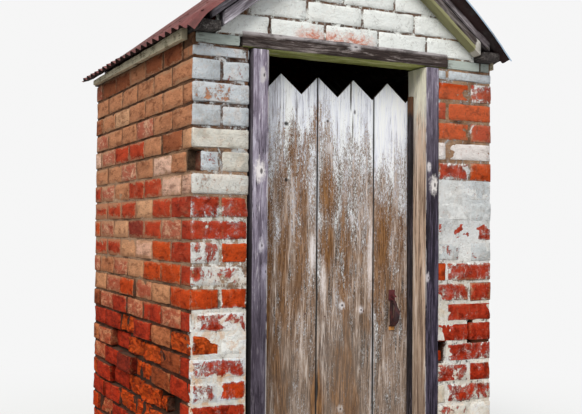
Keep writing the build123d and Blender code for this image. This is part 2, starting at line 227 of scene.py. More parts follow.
def feed(socket, value):
    if isinstance(value, Value):
        value.tree.links.new(value.socket, socket)
    elif value is not None:
        socket.default_value = (*value, 1) if socket.type == "RGBA" else value


def valueFrom(tree, kind, inputs, output=0, **settings):
    # makes a node, feeds its inputs by number or name and returns one of its outputs
    node = tree.nodes.new("ShaderNode" + kind)
    for key, setting in settings.items():
        setattr(node, key, setting)
    for key, value in inputs.items():
        feed(node.inputs[key], value)
    return Value(node.outputs[output])


def maths(operation, *values):
    tree = next(value.tree for value in values if isinstance(value, Value))
    return valueFrom(tree, "Math", dict(enumerate(values)), operation=operation)


def larger(first, second):
    return maths("MAXIMUM", first, second)


def smaller(first, second):
    return maths("MINIMUM", first, second)


def spread(value, low, high, toLow=0, toHigh=1):
    # eases from toLow at low to toHigh at high
    inputs = dict(enumerate((value, low, high, toLow, toHigh)))
    return valueFrom(value.tree, "MapRange", inputs, interpolation_type="SMOOTHSTEP")


def wander(value, reach):
    # a noise value as a shift to both sides
    return (value - 0.5) * reach


def mixColor(factor, first, second, blend="MIX"):
    inputs = {0: factor, 6: first, 7: second}
    return valueFrom(factor.tree, "Mix", inputs, 2, data_type="RGBA", blend_type=blend)


def darken(factor, color, shade):
    return mixColor(factor, color, shade, "MULTIPLY")


def ramp(factor, *stops):
    # each stop: place, red, green, blue
    color = valueFrom(factor.tree, "ValToRGB", {0: factor})
    elements = color.socket.node.color_ramp.elements
    elements[0].position, elements[-1].position = stops[0][0], stops[-1][0]
    elements[0].color, elements[-1].color = (*stops[0][1:], 1), (*stops[-1][1:], 1)
    for position, *shade in stops[1:-1]:
        elements.new(position).color = (*shade, 1)
    return color


def mapped(vector, scale=(1, 1, 1), turn=(0, 0, 0), shift=(0, 0, 0)):
    inputs = {"Vector": vector, "Location": shift, "Rotation": turn, "Scale": scale}
    return valueFrom(vector.tree, "Mapping", inputs)


def noiseOf(vector, scale, detail=4, roughness=0.55, distortion=0, seed=None):
    # a seed takes the noise into a fourth dimension
    inputs = {"Vector": vector, "Scale": scale, "Detail": detail, "Roughness": roughness,
              "Distortion": distortion}
    if seed:
        inputs["W"] = seed
    return valueFrom(vector.tree, "TexNoise", inputs, noise_dimensions="4D" if seed else "3D")


def objectPlace(tree):
    return valueFrom(tree, "TexCoord", {}, "Object")


def markOf(tree, name):
    return valueFrom(tree, "Attribute", {}, "Fac", attribute_name=name)


def partsOf(vector):
    node = valueFrom(vector.tree, "SeparateXYZ", {0: vector}).socket.node
    return [Value(output) for output in node.outputs]


def distanceTo(vector, spot):
    return valueFrom(vector.tree, "VectorMath", {0: vector, 1: spot}, "Value", operation="DISTANCE")


def squeezedDistance(vector, squeeze, spot):
    spot = [value * by for value, by in zip(spot, squeeze)]
    return distanceTo(mapped(vector, squeeze), spot)


def newMaterial(name, roughness=0.9, specular=0.25):
    material = bpy.data.materials.new(name)
    material.use_nodes = True
    tree = material.node_tree
    tree.nodes.clear()
    tree.nodes.new("ShaderNodeOutputMaterial").name = "Material Output"
    shader = valueFrom(tree, "BsdfPrincipled", {"Roughness": roughness, "Specular IOR Level": specular})
    feed(tree.nodes["Material Output"].inputs[0], shader)
    return material, tree


def finish(material, color, height, strength, distance):
    # strength and distance are those of the bump
    inputs = material.node_tree.nodes["Principled BSDF"].inputs
    feed(inputs["Base Color"], color)
    bump = {"Height": height, "Strength": strength, "Distance": distance}
    feed(inputs["Normal"], valueFrom(height.tree, "Bump", bump))
    return material


# camera, floor and light
camera = {"place": (-1.818, -3.799, 1.337), "yaw": 26.43, "pitch": 1.46, "roll": 0.45, "film": 36,
          "focalPixels": 884, "photoWidth": 582, "reach": 200}


def addCamera():
    yaw, pitch, roll = (math.radians(camera[key]) for key in ("yaw", "pitch", "roll"))
    right = Vector((math.cos(yaw), -math.sin(yaw), 0))
    level = Vector((math.sin(yaw), math.cos(yaw), 0))
    ahead = level * math.cos(pitch) + Vector((0, 0, math.sin(pitch)))
    up = Vector((0, 0, math.cos(pitch))) - level * math.sin(pitch)
    rolledRight = right * math.cos(roll) + up * math.sin(roll)
    rolledUp = up * math.cos(roll) - right * math.sin(roll)
    data = bpy.data.cameras.new("camera")
    data.sensor_width = camera["film"]
    data.lens = camera["focalPixels"] / camera["photoWidth"] * camera["film"]
    data.clip_end = camera["reach"]
    eye = bpy.data.objects.new("camera", data)
    turn = Matrix((rolledRight, rolledUp, -ahead)).transposed().to_4x4()
    eye.matrix_world = Matrix.Translation(camera["place"]) @ turn
    bpy.context.scene.collection.objects.link(eye)
    bpy.context.scene.camera = eye


light = {"sky": 0.62, "skyColor": (0.92, 0.96, 1), "sunPower": 2.5, "sunTurn": (48, 0, -38), "sunSize": 30,
         "sunColor": (1, 0.97, 0.92), "floorRadius": 60, "floorSeen": (0.80, 0.80, 0.79),
         "floorLit": (0.32, 0.31, 0.29), "floorFades": (1.8, 5.0), "backdrop": (0.92, 0.92, 0.92)}


def isSeen(tree):
    # 1 for what the camera sees straight or in a gloss, 0 for light that bounces
    path = tree.nodes.new("ShaderNodeLightPath")
    return larger(Value(path.outputs["Is Camera Ray"]), Value(path.outputs["Is Glossy Ray"]))


def addFloor():
    deselectAll()
    bpy.ops.mesh.primitive_circle_add(vertices=96, radius=light["floorRadius"], fill_type="NGON")
    floor = bpy.context.object
    floor.name = "floor"
    material, tree = newMaterial("paleFloor")
    seen = isSeen(tree)
    shader = tree.nodes["Principled BSDF"]
    feed(shader.inputs["Base Color"], mixColor(seen, light["floorLit"], light["floorSeen"]))
    # far from the shed the floor runs out into the backdrop
    far = spread(distanceTo(objectPlace(tree), (0, 0, 0)), *light["floorFades"])
    glow = valueFrom(tree, "Emission", {0: light["backdrop"]})
    both = valueFrom(tree, "MixShader", {0: far * seen, 1: Value(shader.outputs[0]), 2: glow})
    feed(tree.nodes["Material Output"].inputs[0], both)
    floor.data.materials.append(material)


def addLight():
    world = bpy.data.worlds.new("sky")
    bpy.context.scene.world = world
    world.use_nodes = True
    tree = world.node_tree
    tree.nodes.clear()
    lit = valueFrom(tree, "Background", {0: light["skyColor"], 1: light["sky"]})
    backdrop = valueFrom(tree, "Background", {0: light["backdrop"]})
    both = valueFrom(tree, "MixShader", {0: isSeen(tree), 1: lit, 2: backdrop})
    feed(tree.nodes.new("ShaderNodeOutputWorld").inputs[0], both)

    lamp = bpy.data.lights.new("sun", "SUN")
    lamp.energy, lamp.color = light["sunPower"], light["sunColor"]
    lamp.angle = math.radians(light["sunSize"])
    sun = bpy.data.objects.new("sun", lamp)
    sun.rotation_euler = [math.radians(value) for value in light["sunTurn"]]
    bpy.context.scene.collection.objects.link(sun)


bpy.context.scene.view_settings.view_transform = "Standard"
addCamera()
addFloor()
addLight()
print("camera and light placed")

# brickwork; room holds half the width and half the depth of the inside
bricks = {"seed": 11, "rough": 0.0022, "loose": 0.0014, "turn": 5, "tip": 4.5, "arris": (0.006, 0.005),
          "sideHeight": 0.079, "sideLength": 0.234, "lap": 0.002, "closer": 0.19, "shortBy": 0.0045,
          "sag": 0.008, "sink": 0.0015, "topGap": 0.007, "lowFrom": 13, "bittenCourse": 6,
          "sideBite": 0.072, "frontBite": 0.036, "lostBrick": 0.047, "lostCloser": 0.030,
          "stump": (0.062, 0.06, 0.066), "stumpBack": 0.016, "room": (0.603, 0.625)}
# for each cut: width of the cells of a face, how far its arrises are taken off and in how many steps
brickCuts = {"upper": (0.048, 0.0026, 1), "low": (0.040, 0.0055, 1), "front": (0.030, 0.0055, 1),
             "worn": (0.019, 0.008, 2), "stump": (0.012, 0.008, 2)}
# tone runs from dark red to peach, wash is how whole the limewash is, chalk how white and cream how warm
washedLooks = {
    "slate": (0.33, 0.78, 0.32, 0.0), "speckled": (0.34, 0.62, 0.35, 0.3), "white": (0.36, 0.70, 0.66, 0.15),
    "cream": (0.40, 0.75, 0.50, 1.0), "worn": (0.32, 0.53, 0.62, 0.4), "smeared": (0.29, 0.38, 0.72, 0.1),
    "red": (0.30, 0.27, 0.70, 0.2), "orange": (0.43, 0.21, 0.70, 0.4), "freckled": (0.30, 0.585, 0.35, 0.0),
    "aged": (0.30, 0.60, 0.50, 0.75), "dripped": (0.30, 0.335, 0.66, 0.1), "patchy": (0.29, 0.47, 0.78, 0.2),
    "smoky": (0.31, 0.46, 0.62, 0.0), "flaky": (0.43, 0.36, 0.60, 0.0), "paste": (0.40, 1.0, 0.86, 0.25),
    "gable": (0.40, 1.0, 1.0, 0.0),
}
# smudge is how far a brick is streaked with red after its tone, plaster how far mortar is smeared over it
bareLooks = {
    "tan": (0.76, 0.30, 0.35), "sand": (0.88, 0.22, 0.5), "peach": (1.0, 0.34, 0.6),
    "pink": (0.93, 0.64, 0.5), "brown": (0.62, 0.38, 0.2), "brick": (0.30, 0.0, 0.3),
    "deep": (0.18, 0.0, 0.15), "fire": (0.45, 0.0, 0.25),
}
looks = {name: dict(zip(("tone", "wash", "chalk", "cream"), values)) for name, values in washedLooks.items()}
looks.update((name, dict(zip(("tone", "smudge", "plaster"), values))) for name, values in bareLooks.items())
looks["rough"] = dict(tone=0.46, eroded=1.0)
leftPierLooks = (
    "slate", "slate freckled", "freckled", "freckled slate", "cream", "freckled cream", "aged",
    "dripped dripped", "dripped", "worn orange", "worn", "orange orange", "patchy", "orange paste", "smoky",
    "worn flaky", "red", "orange worn", "smeared", "red red", "worn", "orange smeared", "red", "cream worn",
)
rightPierLooks = (
    "slate slate", "orange smeared", "red orange", "orange red", "white white", "smeared orange",
    "white white", "white speckled", "smeared smeared", "speckled speckled", "orange smeared", "smeared red",
    "cream red", "red red", "gap smeared", "smeared red", "cream smoky", "worn white", "smeared worn",
    "worn orange", "white smeared", "orange smeared", "smeared smeared", "cream worn",
)
# the left wall from its front corner to the back, course by course
leftWallLooks = (
    "brown brown tan brown brown", "tan tan tan tan tan tan", "tan tan tan sand tan",
    "tan tan pink tan tan pink", "brown tan brick brick pink", "tan peach tan pink tan tan",
    "peach brick brick tan pink", "pink brick sand brick brick brick", "pink brick deep sand pink",
    "pink fire peach sand brick brick", "fire fire sand pink tan", "fire sand pink fire pink sand",
    "pink brick pink brick pink", "rough tan brick rough brick brick", "brown rough rough brick pink",
    "pink brown rough deep brick pink", "gap rough rough brick brick", "brick rough rough rough brick brick",
    "fire rough brick brick pink", "brick pink fire rough brick fire", "deep pink brick fire brick",
    "fire brick tan brick rough brick", "brick deep fire pink brick", "brown brick brick fire deep tan",
)
# how far single bricks of the left wall, by course and place, stand out or have worn back
leftWallProud = {
    (15, 4): 0.009, (16, 3): 0.013, (16, 4): 0.009, (17, 4): 0.012, (15, 3): -0.026, (17, 3): -0.018,
    (17, 2): -0.012, (16, 2): -0.008, (15, 2): -0.008, (18, 2): -0.008, (18, 1): 0.005, (14, 2): 0.005,
    (13, 3): 0.004, (19, 2): 0.006, (12, 3): 0.004, (5, 1): 0.004, (8, 1): 0.003,
}
# the hollows that worn bricks leave in the left wall, for its mortar to follow: y from and to, z from and
# to, depth
hollowed = []
# the bricks made so far, by their size to the millimetre and their cut
templates = {}


def brickTemplate(length, width, height, cut):
    # one brick about its own centre, its arrises taken off and its faces cut so that they can wear
    key = (round(length, 3), round(width, 3), round(height, 3), cut)
    if key not in templates:
        cell, edge, steps = brickCuts[cut]
        half = Vector((length, width, height)) / 2
        brick = addBlock("brickTemplate", -half, half)
        roundEdges(brick, edge, steps)
        divideAlong(brick, 0, cell)
        divideAlong(brick, 2, cell * 0.55)
        faces = brick.data.polygons
        templates[key] = (points(brick), [tuple(face.vertices) for face in faces],
                          [abs(face.normal.x) > 0.7 for face in faces])
        bpy.data.objects.remove(brick)
    return templates[key]


def isInside(x, y):
    return 1.0 if abs(x) < bricks["room"][0] and abs(y) < bricks["room"][1] else 0.0


class Courses:
    # collects placed bricks, then makes one mesh of them
    def __init__(self, name):
        self.name, self.places, self.faces, self.ends = name, [], [], []
        self.marks = {}

    def lay(self, start, along, out, size, level, look, loose=0, rough=0, proud=0, cut="upper", openEnd=0):
        length, width, height = size
        spots, faces, ends = brickTemplate(length, width, height, cut)
        chance = random.Random(f"{self.name} {start[0]:.3f} {start[1]:.3f} {level:.3f}")
        along, out = Vector(along), Vector(out)
        loose, rough = bricks["loose"] + loose, bricks["rough"] + rough
        turn = chance.uniform(-1, 1) * loose * bricks["turn"]
        tip = chance.uniform(-1, 1) * loose * bricks["tip"]
        inward = width / 2 - chance.uniform(-1, 0.6) * loose - proud
        centre = Vector(start) + along * length / 2 - out * inward
        centre.z = level + height / 2
        shift = Vector([chance.uniform(0, 50) for axis in range(3)])
        base, (sideArris, upArris) = len(self.places), bricks["arris"]
        for x, y, z in spots:
            spot = Vector((x, y, z))
            bump = noise.noise(spot * 13 + shift) * rough + noise.noise(spot * 37 + shift) * rough * 0.8
            corner = abs(x) > 0.5 * length - sideArris, abs(z) > 0.5 * height - upArris
            nick = max(0, noise.noise(spot * 24 - shift)) * rough * 2.4 * any(corner)
            y2 = y + (bump - nick if y > 0 else 0)
            x2 = x - math.copysign(nick, x) * corner[0] * (0.25 if openEnd else 1)
            z2 = z - math.copysign(nick * 0.8, z) * corner[1] + tip * x
            placed = centre + along * (x2 - y2 * turn) + out * (y2 + x2 * turn) + Vector((0, 0, z2))
            placed.z = max(placed.z, 0)
            self.places.append(placed)
        order = -1 if along.cross(out).z < 0 else 1
        self.faces.extend(tuple(base + corner for corner in face[::order]) for face in faces)
        self.ends.extend(ends)
        shown = dict(smudge=0.0, plaster=0.0, eroded=0.0, wash=0.0, chalk=0.4, cream=0.6)
        shown.update(look, seed=chance.random(), aspect=length / height, openEnd=openEnd)
        shown.update(acrossBrick=spots[:, 0] / length + 0.5, upBrick=spots[:, 2] / height + 0.5,
                     deepBrick=spots[:, 1] / height + width / height / 2,
                     inside=[isInside(place.x, place.y) for place in self.places[base:]])
        for key, value in shown.items():
            self.marks.setdefault(key, []).extend(np.broadcast_to(value, len(spots)))

    def build(self):
        piece = addMesh(self.name, self.places, self.faces)
        for key, values in self.marks.items():
            setMark(piece, key, values)
        markFaces(piece, "facesFront", lambda face: face.normal.y < -0.5)
        setMark(piece, "isEnd", self.ends, "FACE")
        shadeSmooth(piece, 50)
        print(self.name, len(self.faces), "faces")
        return piece


def courseLevel(number):
    # underside of the bricks of a course; course 1 is the top one
    return (shed["courses"] - number) * shed["course"] + shed["joint"] / 2


def lowness(number):
    # the lower courses are laid loosest
    return max(0, number / shed["courses"] - 0.42)


def washMask(place, wash, edge=None):
    # limewash that wears through in patches: a sharp-edged coat, flecks and a thin film around it
    blobs = noiseOf(place, 19, 12, 0.76, 0.6)
    fine = noiseOf(place, 150, 6, 0.78)
    runs = noiseOf(mapped(place, (38, 38, 9)), 1, 6, 0.7)
    wear = blobs * 1.35 + fine * 0.48 + runs * 0.5 - 0.665
    over = (wash + edge if edge else wash) - wear
    return larger(spread(over, -0.015, 0.015), spread(over, -0.16, 0.0, 0, 0.2))


def chalkColor(tree, place):
    chalk = markOf(tree, "chalk")
    color = ramp(chalk, (0, 0.42, 0.5, 0.57), (0.5, 0.77, 0.8, 0.83), (0.8, 0.96, 0.97, 0.97),
                 (1, 0.97, 1, 0.98))
    color = darken(markOf(tree, "cream"), color, (1, 0.93, 0.81))
    kept = spread(chalk, 0.8, 0.95, 1, 0.3)
    soft = noiseOf(place, 14, 8, 0.72, 0.4)
    color = darken(kept * spread(soft, 0.46, 0.68, 0, 0.85), color, (0.7, 0.69, 0.67))
    grime = noiseOf(mapped(place, (1, 1, 0.6), shift=(5, 1, 3)), 42, 8, 0.78)
    grime = spread(grime, 0.53, 0.66, 0, 0.6) * (1.1 - chalk * 0.8)
    color = mixColor(grime, color, (0.4, 0.33, 0.28))
    x, y, z = partsOf(place)
    stain = noiseOf(mapped(place, shift=(2, 7, 1)), 17, 8, 0.75, 0.6)
    low = spread(z, 0.7, 1.3, 1, 0.2) * spread(x, -0.1, 0.1, 1, 0.4) * kept
    color = mixColor(spread(stain, 0.49, 0.62, 0, 0.85) * low, color, (0.78, 0.47, 0.26))
    color = mixColor(spread(stain, 0.36, 0.47, 0.6, 0) * low, color, (0.7, 0.74, 0.84))
    # low on the right it turned to a warm cream
    warm = spread(z, 1.08, 1.24, 1, 0) * spread(x, 0.38, 0.42)
    color = darken(warm * spread(soft, 0.4, 0.56, 0.45, 1), color, (1.0, 0.93, 0.83))
    crazed = abs(noiseOf(place, 8, 7, 0.6, 0.3) - 0.5)
    color = mixColor(spread(crazed, 0.0, 0.004, 0.6, 0), color, (0.13, 0.09, 0.07))
    specks = noiseOf(place, 85, 5, 0.75)
    return mixColor(kept * spread(specks, 0.6, 0.67, 0, 0.7), color, (0.4, 0.17, 0.13))


def flushZone(z):
    # halfway up the side walls the mortar lies flush and pale
    return spread(z, 1.08, 1.24) * spread(z, 1.5, 1.66, 1, 0)


def bareBrick(tree, place, mottle, smears, z):
    # burnt clay before mortar, dirt and limewash; the eroded hollows get painted shade and come back for the
    # relief
    body = ramp(markOf(tree, "tone"), (0, 0.12, 0.035, 0.028), (0.2, 0.27, 0.038, 0.022),
                (0.3, 0.45, 0.05, 0.022), (0.47, 0.6, 0.085, 0.014), (0.62, 0.34, 0.105, 0.045),
                (0.76, 0.555, 0.24, 0.12), (0.88, 0.66, 0.36, 0.2), (1, 0.8, 0.5, 0.37))
    body = darken(spread(mottle, 0.5, 0.62, 0, 0.85), body, (0.42, 0.36, 0.34))
    body = darken(spread(mottle, 0.34, 0.49, 0.75, 0), body, (1.34, 1.38, 1.42))
    over = markOf(tree, "smudge") * 0.78 - smears
    body = mixColor(spread(over, -0.08, 0.02, 0, 0.85), body, (0.43, 0.085, 0.045))
    blotch = noiseOf(place, 11, 6, 0.68, 0.5)
    body = darken(spread(blotch, 0.5, 0.66, 0, 0.5), body, (0.52, 0.4, 0.36))
    streak = noiseOf(mapped(place, (60, 60, 14)), 1, 5, 0.65, seed=brickSeed(tree))
    body = mixColor(spread(streak, 0.58, 0.68, 0, 0.2), body, (0.56, 0.32, 0.21))
    hollows = noiseOf(place, 46, 7, 0.72, 0.6)
    bruised = spread(hollows, 0.42, 0.54, 0.7, 0) * spread(z, 0.7, 1.3, 1, 0.15)
    body = darken(bruised, body, (0.44, 0.4, 0.4))
    # painted shade darkens the eroded hollows of the worn bricks
    hollows = spread(hollows, 0.4, 0.54, 1, 0) * markOf(tree, "eroded")
    return mixColor(hollows * 0.7, body, (0.16, 0.022, 0.01)), hollows


def brickSeed(tree):
    return markOf(tree, "seed") * 37.0


def brickArrises(tree, place):
    # distance from the nearest arris in heights of a brick, and where a brick shows an open end; on such
    # an end it runs from the two long arrises
    across, up, deep = (markOf(tree, name) for name in ("acrossBrick", "upBrick", "deepBrick"))
    sideways = smaller(across, 1 - across) * markOf(tree, "aspect")
    endways = smaller(abs(deep), abs(1.392 - deep))
    opened = markOf(tree, "openEnd") * markOf(tree, "isEnd")
    nearEdge = smaller(larger(sideways, opened * endways), smaller(up, 1 - up))
    return nearEdge + wander(noiseOf(place, 60, 5, 0.7), 0.1), opened


def smearedAndShadedBrick(tree, place, body, mottle, smears, nearEdge, z):
    # mortar that was smeared over the arrises, then painted shade where the joints fall into shadow and under
    # the eaves
    drifts = noiseOf(place, 3.2, 4, 0.6, seed=4.0)
    smeared = markOf(tree, "plaster") * spread(z, 0.8, 1.15, 0.02, 0.22) - nearEdge
    smeared = smeared + wander(drifts, 0.9) - wander(noiseOf(place, 52, 10, 0.85, 0.8), 1.6)
    smear = mixColor(mottle, (0.36, 0.18, 0.095), (0.58, 0.34, 0.2))
    body = mixColor(spread(smeared, -0.04, 0.1, 0, 0.75), body, smear)
    flush = flushZone(z)
    body = mixColor(flush * spread(smears, 0.5, 0.66, 0, 0.22), body, (0.6, 0.35, 0.21))
    body = mixColor(markOf(tree, "eroded") * spread(mottle, 0.46, 0.6, 0.7, 0), body, (0.72, 0.15, 0.03))
    # painted shade: the arrises darken where the joints fall into shadow, less where the mortar lies flush
    rim = nearEdge - spread(z, 0.9, 1.2, 0.014, 0)
    outline = (1 - flush * 0.65) * spread(rim, 0.0, 0.036, 0.9, 0)
    body = mixColor(outline, body, (0.05, 0.022, 0.014))
    # painted shade under the eaves at the top of the walls
    body = darken(spread(z, 1.95, 2.06, 0, 0.75), body, (0.42, 0.38, 0.36))
    return darken(spread(z, 0.45, 1.65, 1, 0), body, (1.0, 0.65, 0.43))


def brickMaterial():
    material, tree = newMaterial("oldBrick", 0.95, 0.06)
    whole = objectPlace(tree)
    x, y, z = partsOf(whole)
    place = mapped(whole, (1, 0.36, 1))
    front = markOf(tree, "facesFront")
    mottle = noiseOf(place, 30, 9, 0.72, 0.3, seed=brickSeed(tree))
    smears = noiseOf(mapped(place, (1, 1, 0.75)), 24, 10, 0.82, 0.9, seed=brickSeed(tree))
    body, hollows = bareBrick(tree, place, mottle, smears, z)
    # painted shade in the pits, darkest where the bump dips
    pits = noiseOf(place, 150, 4, 0.7)
    body = mixColor(spread(pits, 0.3, 0.43, 0.8, 0), body, (0.08, 0.03, 0.02))
    nearEdge, opened = brickArrises(tree, place)
    body = smearedAndShadedBrick(tree, place, body, mottle, smears, nearEdge, z)
    # the ends that show where a neighbour has worn back get painted shade
    body = darken(opened * front * spread(y, -0.7, -0.69), body, (0.42, 0.36, 0.34))
    # low on the left pier the cream mortar runs over the arrises
    pasted = spread(z, 1.02, 1.08, 0.17, 0) * spread(x, -0.46, -0.44, 1, 0)
    atArris = spread(nearEdge, 0.0, 0.22, 1, 0) * (0.1 + pasted)
    atCorner = spread(y + wander(mottle, 0.03), -0.709, -0.705, 0.9, 0)
    mask = washMask(place, markOf(tree, "wash"), atArris) * larger(front, atCorner)
    color = mixColor(mask, body, chalkColor(tree, place))
    # in the gable the wash has worn to red just above the beam
    bare = spread(z + wander(smears, 0.2), 2.098, 2.14, 1, 0) * spread(z, 2.08, 2.085)
    bare = bare * spread(noiseOf(mapped(place, (0.5, 1, 1)), 110, 6, 0.8), 0.4, 0.56, 0.15, 0.9)
    bare = bare * spread(abs(x + 0.09), 0.12, 0.21, 1, 0)
    color = mixColor(bare * front, color, (0.66, 0.19, 0.1))
    # painted light: the top courses of the right pier are lit brightest
    paintedSunlight = spread(z, 1.55, 1.7, 0, 0.13) * spread(z, 1.94, 1.96, 1, 0) * spread(x, 0.38, 0.41)
    color = mixColor(paintedSunlight * front, color, (1.0, 0.42, 0.24))
    # painted shade in the joints, darkening every arris
    color = mixColor(spread(nearEdge, -0.01, 0.028, 0.55, 0), color, (0.11, 0.075, 0.055))
    # painted shade: the faces inside the shed are darkened
    color = darken(markOf(tree, "inside"), color, (0.3, 0.28, 0.27))
    relief = mottle * 0.9 + pits * 0.6 + mask * 0.35 - hollows * 1.2
    return finish(material, color, relief, 0.9, 0.01)


def mortarMaterial():
    material, tree = newMaterial("oldMortar", 0.97, 0.15)
    whole = objectPlace(tree)
    x, y, z = partsOf(whole)
    place = mapped(whole, (1, 0.36, 1))
    grain = noiseOf(place, 200, 5, 0.75)
    lumps = noiseOf(place, 55, 6, 0.7)
    patch = noiseOf(place, 9, 8, 0.72)
    color = ramp(patch, (0.36, 0.05, 0.028, 0.018), (0.44, 0.2, 0.105, 0.058), (0.52, 0.38, 0.215, 0.12),
                 (0.66, 0.52, 0.33, 0.205))
    color = mixColor(flushZone(z) * 0.6, color, mixColor(lumps, (0.4, 0.22, 0.13), (0.62, 0.42, 0.28)))
    color = mixColor(spread(grain, 0.35, 0.55, 0.5, 0), color, (0.06, 0.035, 0.025))
    # low down the joints are darker: partly their own brick-dust colour, partly painted shade in the deeper
    # joints
    color = darken(spread(z, 0.9, 1.2, 1, 0), color, (0.22, 0.11, 0.07))
    # painted shade: the joints are darker from about 1.6 m up, except on the right pier
    color = darken(spread(z, 1.6, 1.72) * spread(x, 0.38, 0.41, 1, 0), color, (0.46, 0.38, 0.34))
    mask = washMask(place, markOf(tree, "wash"))
    color = mixColor(mask, color, chalkColor(tree, place))
    shadow = markOf(tree, "deep") * spread(lumps, 0.36, 0.62, 1, 0.75)
    color = mixColor(shadow, color, (0.035, 0.022, 0.014))
    # painted shade: the mortar inside the shed is darkened
    color = darken(markOf(tree, "inside"), color, (0.3, 0.28, 0.27))
    return finish(material, color, grain + lumps + mask * 0.6, 0.9, 0.007)


oldBrick, oldMortar = brickMaterial(), mortarMaterial()


def plainSideLook(number, chance):
    # the sides that the front hides go from tan at the top to mixed and then red lower down
    words = "brick brick fire deep pink rough brown brick tan"
    if number <= 4:
        words = "tan tan tan sand brown pink"
    elif number <= 12:
        words = "tan pink brick brick peach sand fire pink"
    return chance.choice(words.split())


def laySideCourse(courses, side, number, words, cornerWord):
    wall, joint, lap, lost = shed["wall"], shed["joint"], bricks["lap"], bricks["lostBrick"]
    x, along, out = shed["right"] if side > 0 else shed["left"], (0, side, 0), (side, 0, 0)
    level, odd = courseLevel(number), number % 2 == 1
    lower = lowness(number) * (1.4 if side < 0 else 1)
    for index, word in enumerate(words):
        isCorner, isLast = index == 0 and not odd, index == len(words) - 1
        bitten = side < 0 and number == bricks["bittenCourse"] and index == 0
        sag = bricks["sag"] * lower * noise.noise(Vector((side * 5, index * 1.1, number * 0.6)))
        y = shed["front"] + (wall + joint if odd else 0) + index * (shed["brick"] + joint) - lap
        length, deep, away = bricks["sideLength"], wall, 0.0
        if isCorner:
            y, length = shed["front"], shed["brick"] + lap
        if isLast:
            length -= lap
        if bitten:
            y, length = y + bricks["sideBite"], length - bricks["sideBite"]
        if word == "gap":
            # the stump of the lost brick, then what lies behind it
            courses.lay((x - side * bricks["stumpBack"], y + length, 0), along, out, bricks["stump"], level,
                        looks["rough"], 0.004, 0.01, 0, "stump")
            away, deep, word = lost, wall - lost, "rough"
        look, worn = dict(looks[word]), word == "rough"
        if side < 0 and word == "brick" and number < 11:
            look.update(tone=0.33, plaster=0.65)
        if isCorner and not bitten:
            corner = looks[cornerWord]
            look.update(wash=corner["wash"], chalk=corner["chalk"], cream=corner["cream"])
            if side > 0 or number >= 8:
                look.update(tone=corner["tone"], smudge=0.0, plaster=0.0)
        proud = (-0.006 if side < 0 else -0.004) if worn else 0.0
        bared = False
        if side < 0:
            proud = leftWallProud.get((number, index), proud)
            beside = (number, index - 1) in leftWallProud or index and words[index - 1] == "gap"
            bared = number >= bricks["lowFrom"] and (proud > 0.004 or beside)
            if proud < 0:
                hollowed.append((y, y + length, level, level + shed["course"], 0.007 - proud))
        opened = bared or not odd and (isLast or isCorner and not bitten)
        cut = "worn" if worn or bitten else "low" if number >= bricks["lowFrom"] else "upper"
        place = (x - side * away, y + length if side < 0 else y, 0)
        size, height = (length, deep, bricks["sideHeight"]), max(level - bricks["sink"] + sag, 0)
        rough = 0.006 * lower + (0.005 if worn or bitten else 0)
        courses.lay(place, along, out, size, height, look, 0.013 * lower, rough, proud, cut,
                    1.0 if opened else 0.0)


def layFrontCourse(courses, number, leftWords, rightWords):
    left, right, front, wall, brick = (shed[key] for key in ("left", "right", "front", "wall", "brick"))
    pier, back, bite = right - shed["rightPier"], wall + shed["joint"], bricks["frontBite"]
    level, odd = courseLevel(number), number % 2 == 1
    height = shed["brickHeight"] if number > 1 else shed["pierTop"] - level - bricks["topGap"]
    if odd:
        rows = [(left, brick, leftWords[0]), (pier, shed["rightPier"] - brick - shed["joint"], rightWords[0]),
                (right - brick, brick, rightWords[1])]
    else:
        rows = [(left + back, shed["leftPier"] - back, leftWords[1]),
                (pier, shed["rightPier"] - back, rightWords[0])]
    if number == bricks["bittenCourse"]:
        rows.append((left + bite, wall - bite, leftWords[0]))
    for x, length, word in rows:
        face, deep, tall, rough, cut = front, wall, height, 0.0014 if number > 7 else 0.0, "front"
        if word == "gap":
            face, deep, tall = front + bricks["lostCloser"], wall - bricks["lostCloser"], height * 0.62
            word, rough, cut = "orange", 0.01, "stump"
        if x + length < -0.4 and number > 8:
            length -= bricks["shortBy"]
        look = dict(looks[word])
        if number < 8 and x == left:
            look["tone"] = {5: 0.84, 7: 1.0}.get(number, 0.76)
        courses.lay((x, face, 0), (1, 0, 0), (0, -1, 0), (length, deep, tall), level, look, 0.0006, rough, 0,
                    cut, 1.0 if odd else 0.0)


def layBackCourse(courses, number, chance):
    brick, wall, joint, closer = shed["brick"], shed["wall"], shed["joint"], bricks["closer"]
    odd, lower, level = number % 2 == 1, lowness(number), courseLevel(number) - bricks["sink"]
    x, lengths = shed["right"] - wall - joint, [brick, closer, brick, brick, brick]
    if odd:
        x, lengths = shed["right"], [brick, brick, brick, closer, brick, brick]
    for length in lengths:
        word = plainSideLook(number, chance)
        worn = word == "rough"
        cut = "worn" if worn else "low" if number >= bricks["lowFrom"] else "upper"
        size = (length + bricks["lap"], wall, bricks["sideHeight"])
        courses.lay((x, shed["back"], 0), (-1, 0, 0), (0, 1, 0), size, level, looks[word], 0.008 * lower,
                    0.005 * lower + (0.004 if worn else 0), -0.004 if worn else 0, cut, 1.0 if odd else 0.0)
        x -= length + joint


def layWalls():
    chance = random.Random(bricks["seed"])
    front, left, right, back = (Courses(name + "_bricks") for name in ("front", "left", "right", "back"))
    for number in range(1, shed["courses"] + 1):
        leftWords, rightWords = leftPierLooks[number - 1].split(), rightPierLooks[number - 1].split()
        laySideCourse(left, -1, number, leftWallLooks[number - 1].split(), leftWords[0])
        words = [plainSideLook(number, chance) for index in range(5 if number % 2 else 6)]
        laySideCourse(right, 1, number, words, rightWords[-1])
        layFrontCourse(front, number, leftWords, rightWords)
        layBackCourse(back, number, chance)
    return front, left, right, back


